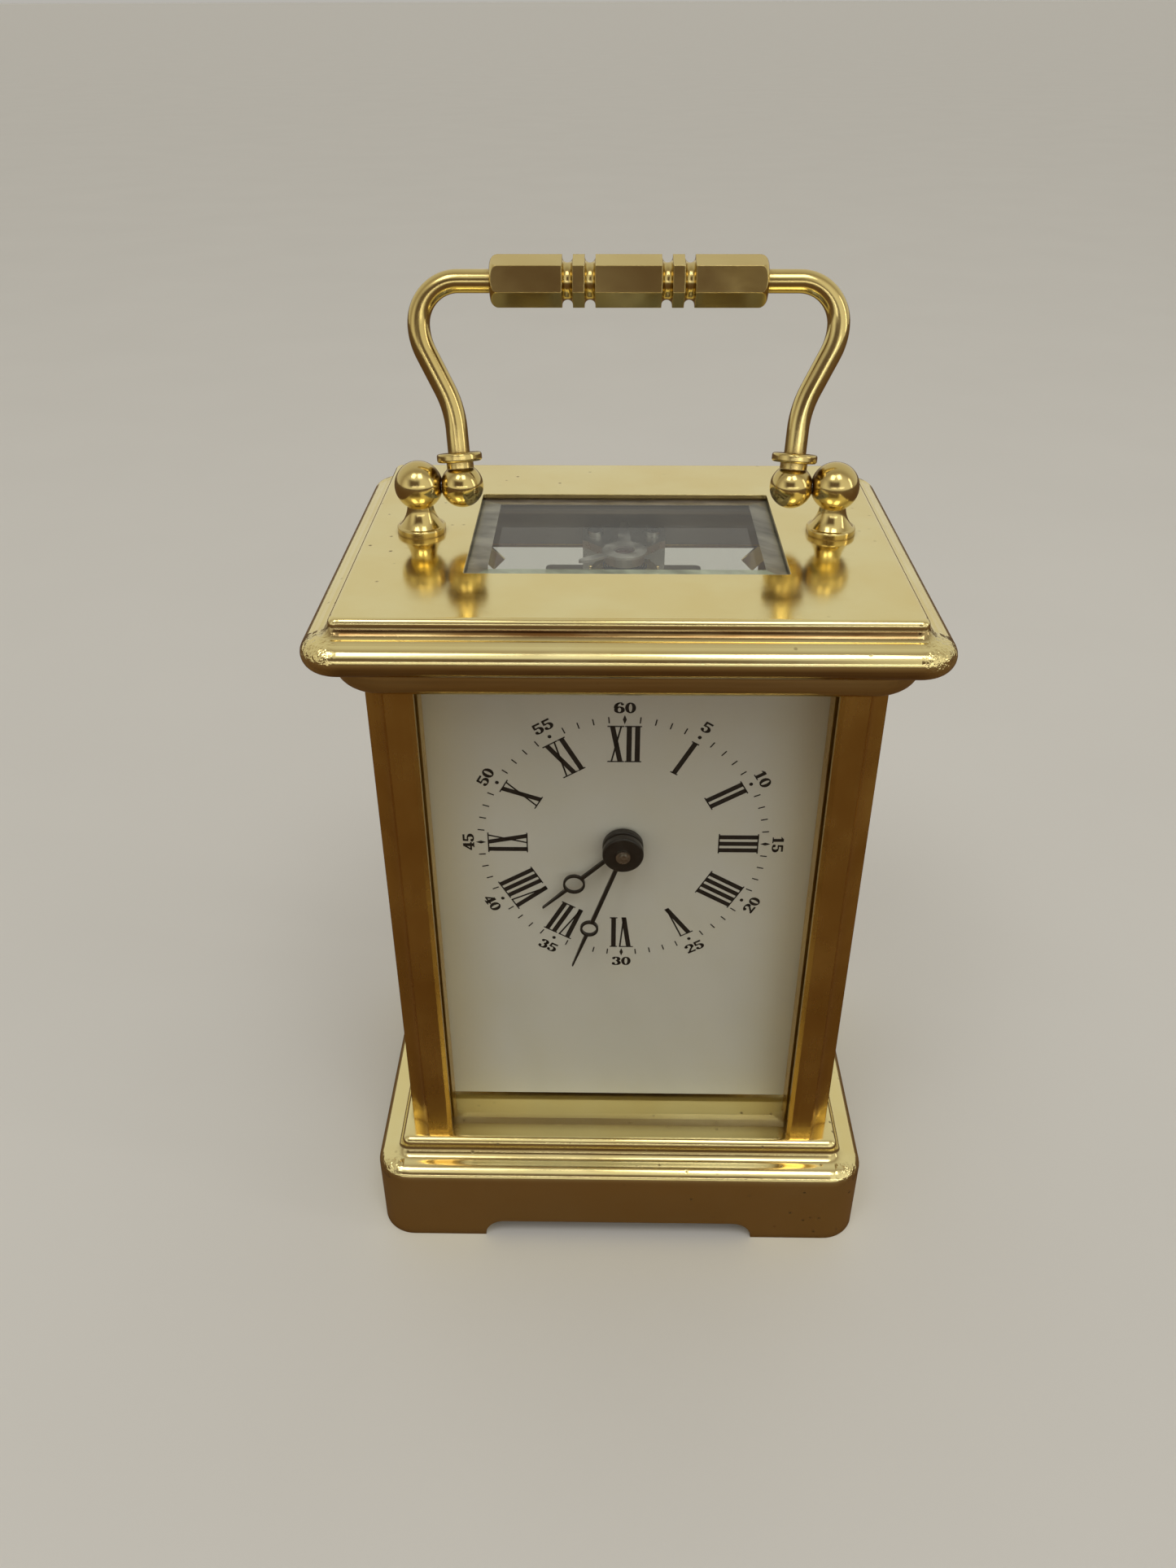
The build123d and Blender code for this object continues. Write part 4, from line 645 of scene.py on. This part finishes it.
def floor():
    """Pale to the eye. The brass mirrors it, and is lit by it, as if it were dark brown wood."""
    s = Shader("stage_floor")
    pale = s.mix(s.noise(14.0, 3.0), rgb(0.74, 0.73, 0.70), rgb(0.70, 0.69, 0.66))
    wood = s.noise(1.0, 3.0, s.stretch((6.0, 40.0, 6.0)))
    brown = s.mix(wood, rgb(0.095, 0.045, 0.014), rgb(0.17, 0.085, 0.030))
    seen = s.principled(Base_Color=pale, Roughness=0.6)
    mirrored = s.principled(Base_Color=brown, Roughness=0.7)
    path = s.add("ShaderNodeLightPath").outputs
    bounced = s.math("MAXIMUM", path["Is Glossy Ray"], path["Is Diffuse Ray"])
    corners = [(x * FLOOR_HALF, y * FLOOR_HALF, 0.0) for x, y in ((-1, -1), (1, -1), (1, 1), (-1, 1))]
    plane = mesh_object("stage_floor", corners, [(0, 1, 2, 3)], s.finish(s.blend(bounced, seen, mirrored)))


def area_light(name, place, target, size, power, color=(1, 1, 1)):
    lamp = bpy.data.lights.new(name, "AREA")
    lamp.shape = "RECTANGLE"
    lamp.size, lamp.size_y = size
    lamp.energy = power
    lamp.color = color
    holder = bpy.data.objects.new(name, lamp)
    scene.collection.objects.link(holder)
    holder.location = place
    holder.rotation_euler = (Vector(target) - Vector(place)).to_track_quat("-Z", "Y").to_euler()


# the room's light by height (floor to ceiling) and by depth (behind the viewer to behind the clock)
LIGHT_BY_HEIGHT = ((0.0, 0.08), (0.50, 0.70), (0.62, 0.66), (0.85, 0.66), (1.0, 0.60))
LIGHT_BY_DEPTH = ((0.0, 1.0), (0.25, 0.95), (0.45, 0.45), (0.66, 0.72), (1.0, 0.77))
# the viewer, a dim shape against the light: axis, from nothing, to full
VIEWER = (("X", -0.80, -0.50), ("X", 0.30, 0.12), ("Z", 0.08, 0.22), ("Z", 0.72, 0.56), ("Y", -0.05, -0.25))
VIEWER_COLOR = rgb(0.10, 0.072, 0.058)
BACKDROP = rgb(0.36, 0.345, 0.32)
ROOM_STRENGTH = 1.3


def warmed(value):
    """A grey of the room's light, browner the darker it is."""
    warmth = 1.0 - 0.35 * (1.0 - min(1.0, value * 1.6))
    return rgb(value, value * warmth * 0.985, value * warmth * warmth * 0.94)


def ramp(tree, direction, stops):
    """Colour along a part of the direction of sight, which runs from -1 to 1."""
    node = tree.add("ShaderNodeValToRGB", {0: tree.band(direction, -1.0, 1.0)})
    elements = node.color_ramp.elements
    while len(elements) < len(stops):
        elements.new(0.5)
    for element, (spot, value) in zip(elements, stops):
        element.position = spot
        element.color = warmed(value)
    return node.outputs[0]


def surroundings():
    """Soft room light: bright in front of the clock, dimmer overhead, grey behind it."""
    world = bpy.data.worlds.new("room")
    scene.world = world
    world.use_nodes = True
    tree = NodeTree(world.node_tree)
    sight = tree.add("ShaderNodeTexCoord").outputs["Generated"]
    axes = tree.add("ShaderNodeSeparateXYZ", {0: sight}).outputs
    room = tree.mix(1.0, ramp(tree, axes["Z"], LIGHT_BY_HEIGHT), ramp(tree, axes["Y"], LIGHT_BY_DEPTH),
                    "MULTIPLY")
    viewer = tree.product(*(tree.band(axes[axis], outer, inner) for axis, outer, inner in VIEWER))
    room = tree.mix(viewer, room, VIEWER_COLOR)
    # seen straight on, the room is a plain pale backdrop
    straight = tree.add("ShaderNodeLightPath").outputs["Is Camera Ray"]
    light = {"Color": tree.mix(straight, room, BACKDROP), "Strength": ROOM_STRENGTH}
    back = tree.add("ShaderNodeBackground", light).outputs[0]
    tree.add("ShaderNodeOutputWorld", {"Surface": back})


VIEW_PLACE = Vector((-2.474, -164.692, 176.231)) * MM
VIEW_YAW, VIEW_PITCH, VIEW_ROLL = -0.018, -0.573, -0.003
SENSOR_HEIGHT = 36.0                # in millimetres, as the lens is
LENS = 28.015


def camera():
    """The viewer stands close in front and looks down on the clock."""
    level_ahead = Vector((math.sin(VIEW_YAW), math.cos(VIEW_YAW), 0.0))
    ahead = level_ahead * math.cos(VIEW_PITCH) + Vector((0.0, 0.0, math.sin(VIEW_PITCH)))
    level_right = Vector((math.cos(VIEW_YAW), -math.sin(VIEW_YAW), 0.0))
    level_up = level_right.cross(ahead)
    right = level_right * math.cos(VIEW_ROLL) + level_up * math.sin(VIEW_ROLL)
    up = level_up * math.cos(VIEW_ROLL) - level_right * math.sin(VIEW_ROLL)
    eye = bpy.data.cameras.new("camera")
    eye.sensor_fit = "VERTICAL"
    eye.sensor_height = SENSOR_HEIGHT
    eye.lens = LENS
    eye.clip_start = 5 * MM
    holder = bpy.data.objects.new("camera", eye)
    scene.collection.objects.link(holder)
    axes = Matrix((right, up, -ahead)).transposed()
    holder.matrix_world = Matrix.Translation(VIEW_PLACE) @ axes.to_4x4()
    scene.camera = holder


def lamps():
    """Two ceiling panels, a long low window strip far in front, and a tall panel at the right."""
    middle = Vector((0.0, 0.0, 0.08))
    for side in (-1, 1):
        area_light(f"ceiling_panel_{side}", (0.22 * side - 0.05, -0.42, 0.95), middle, (0.26, 0.34), 0.9)
    area_light("window_strip", (0.10, -1.10, 0.34), middle, (1.30, 0.05), 0.6)
    area_light("side_panel", (0.95, -0.25, 0.45), middle, (0.12, 0.60), 0.6, (1.0, 0.97, 0.92))


floor()
surroundings()
lamps()
camera()
scene.view_settings.view_transform = "Standard"
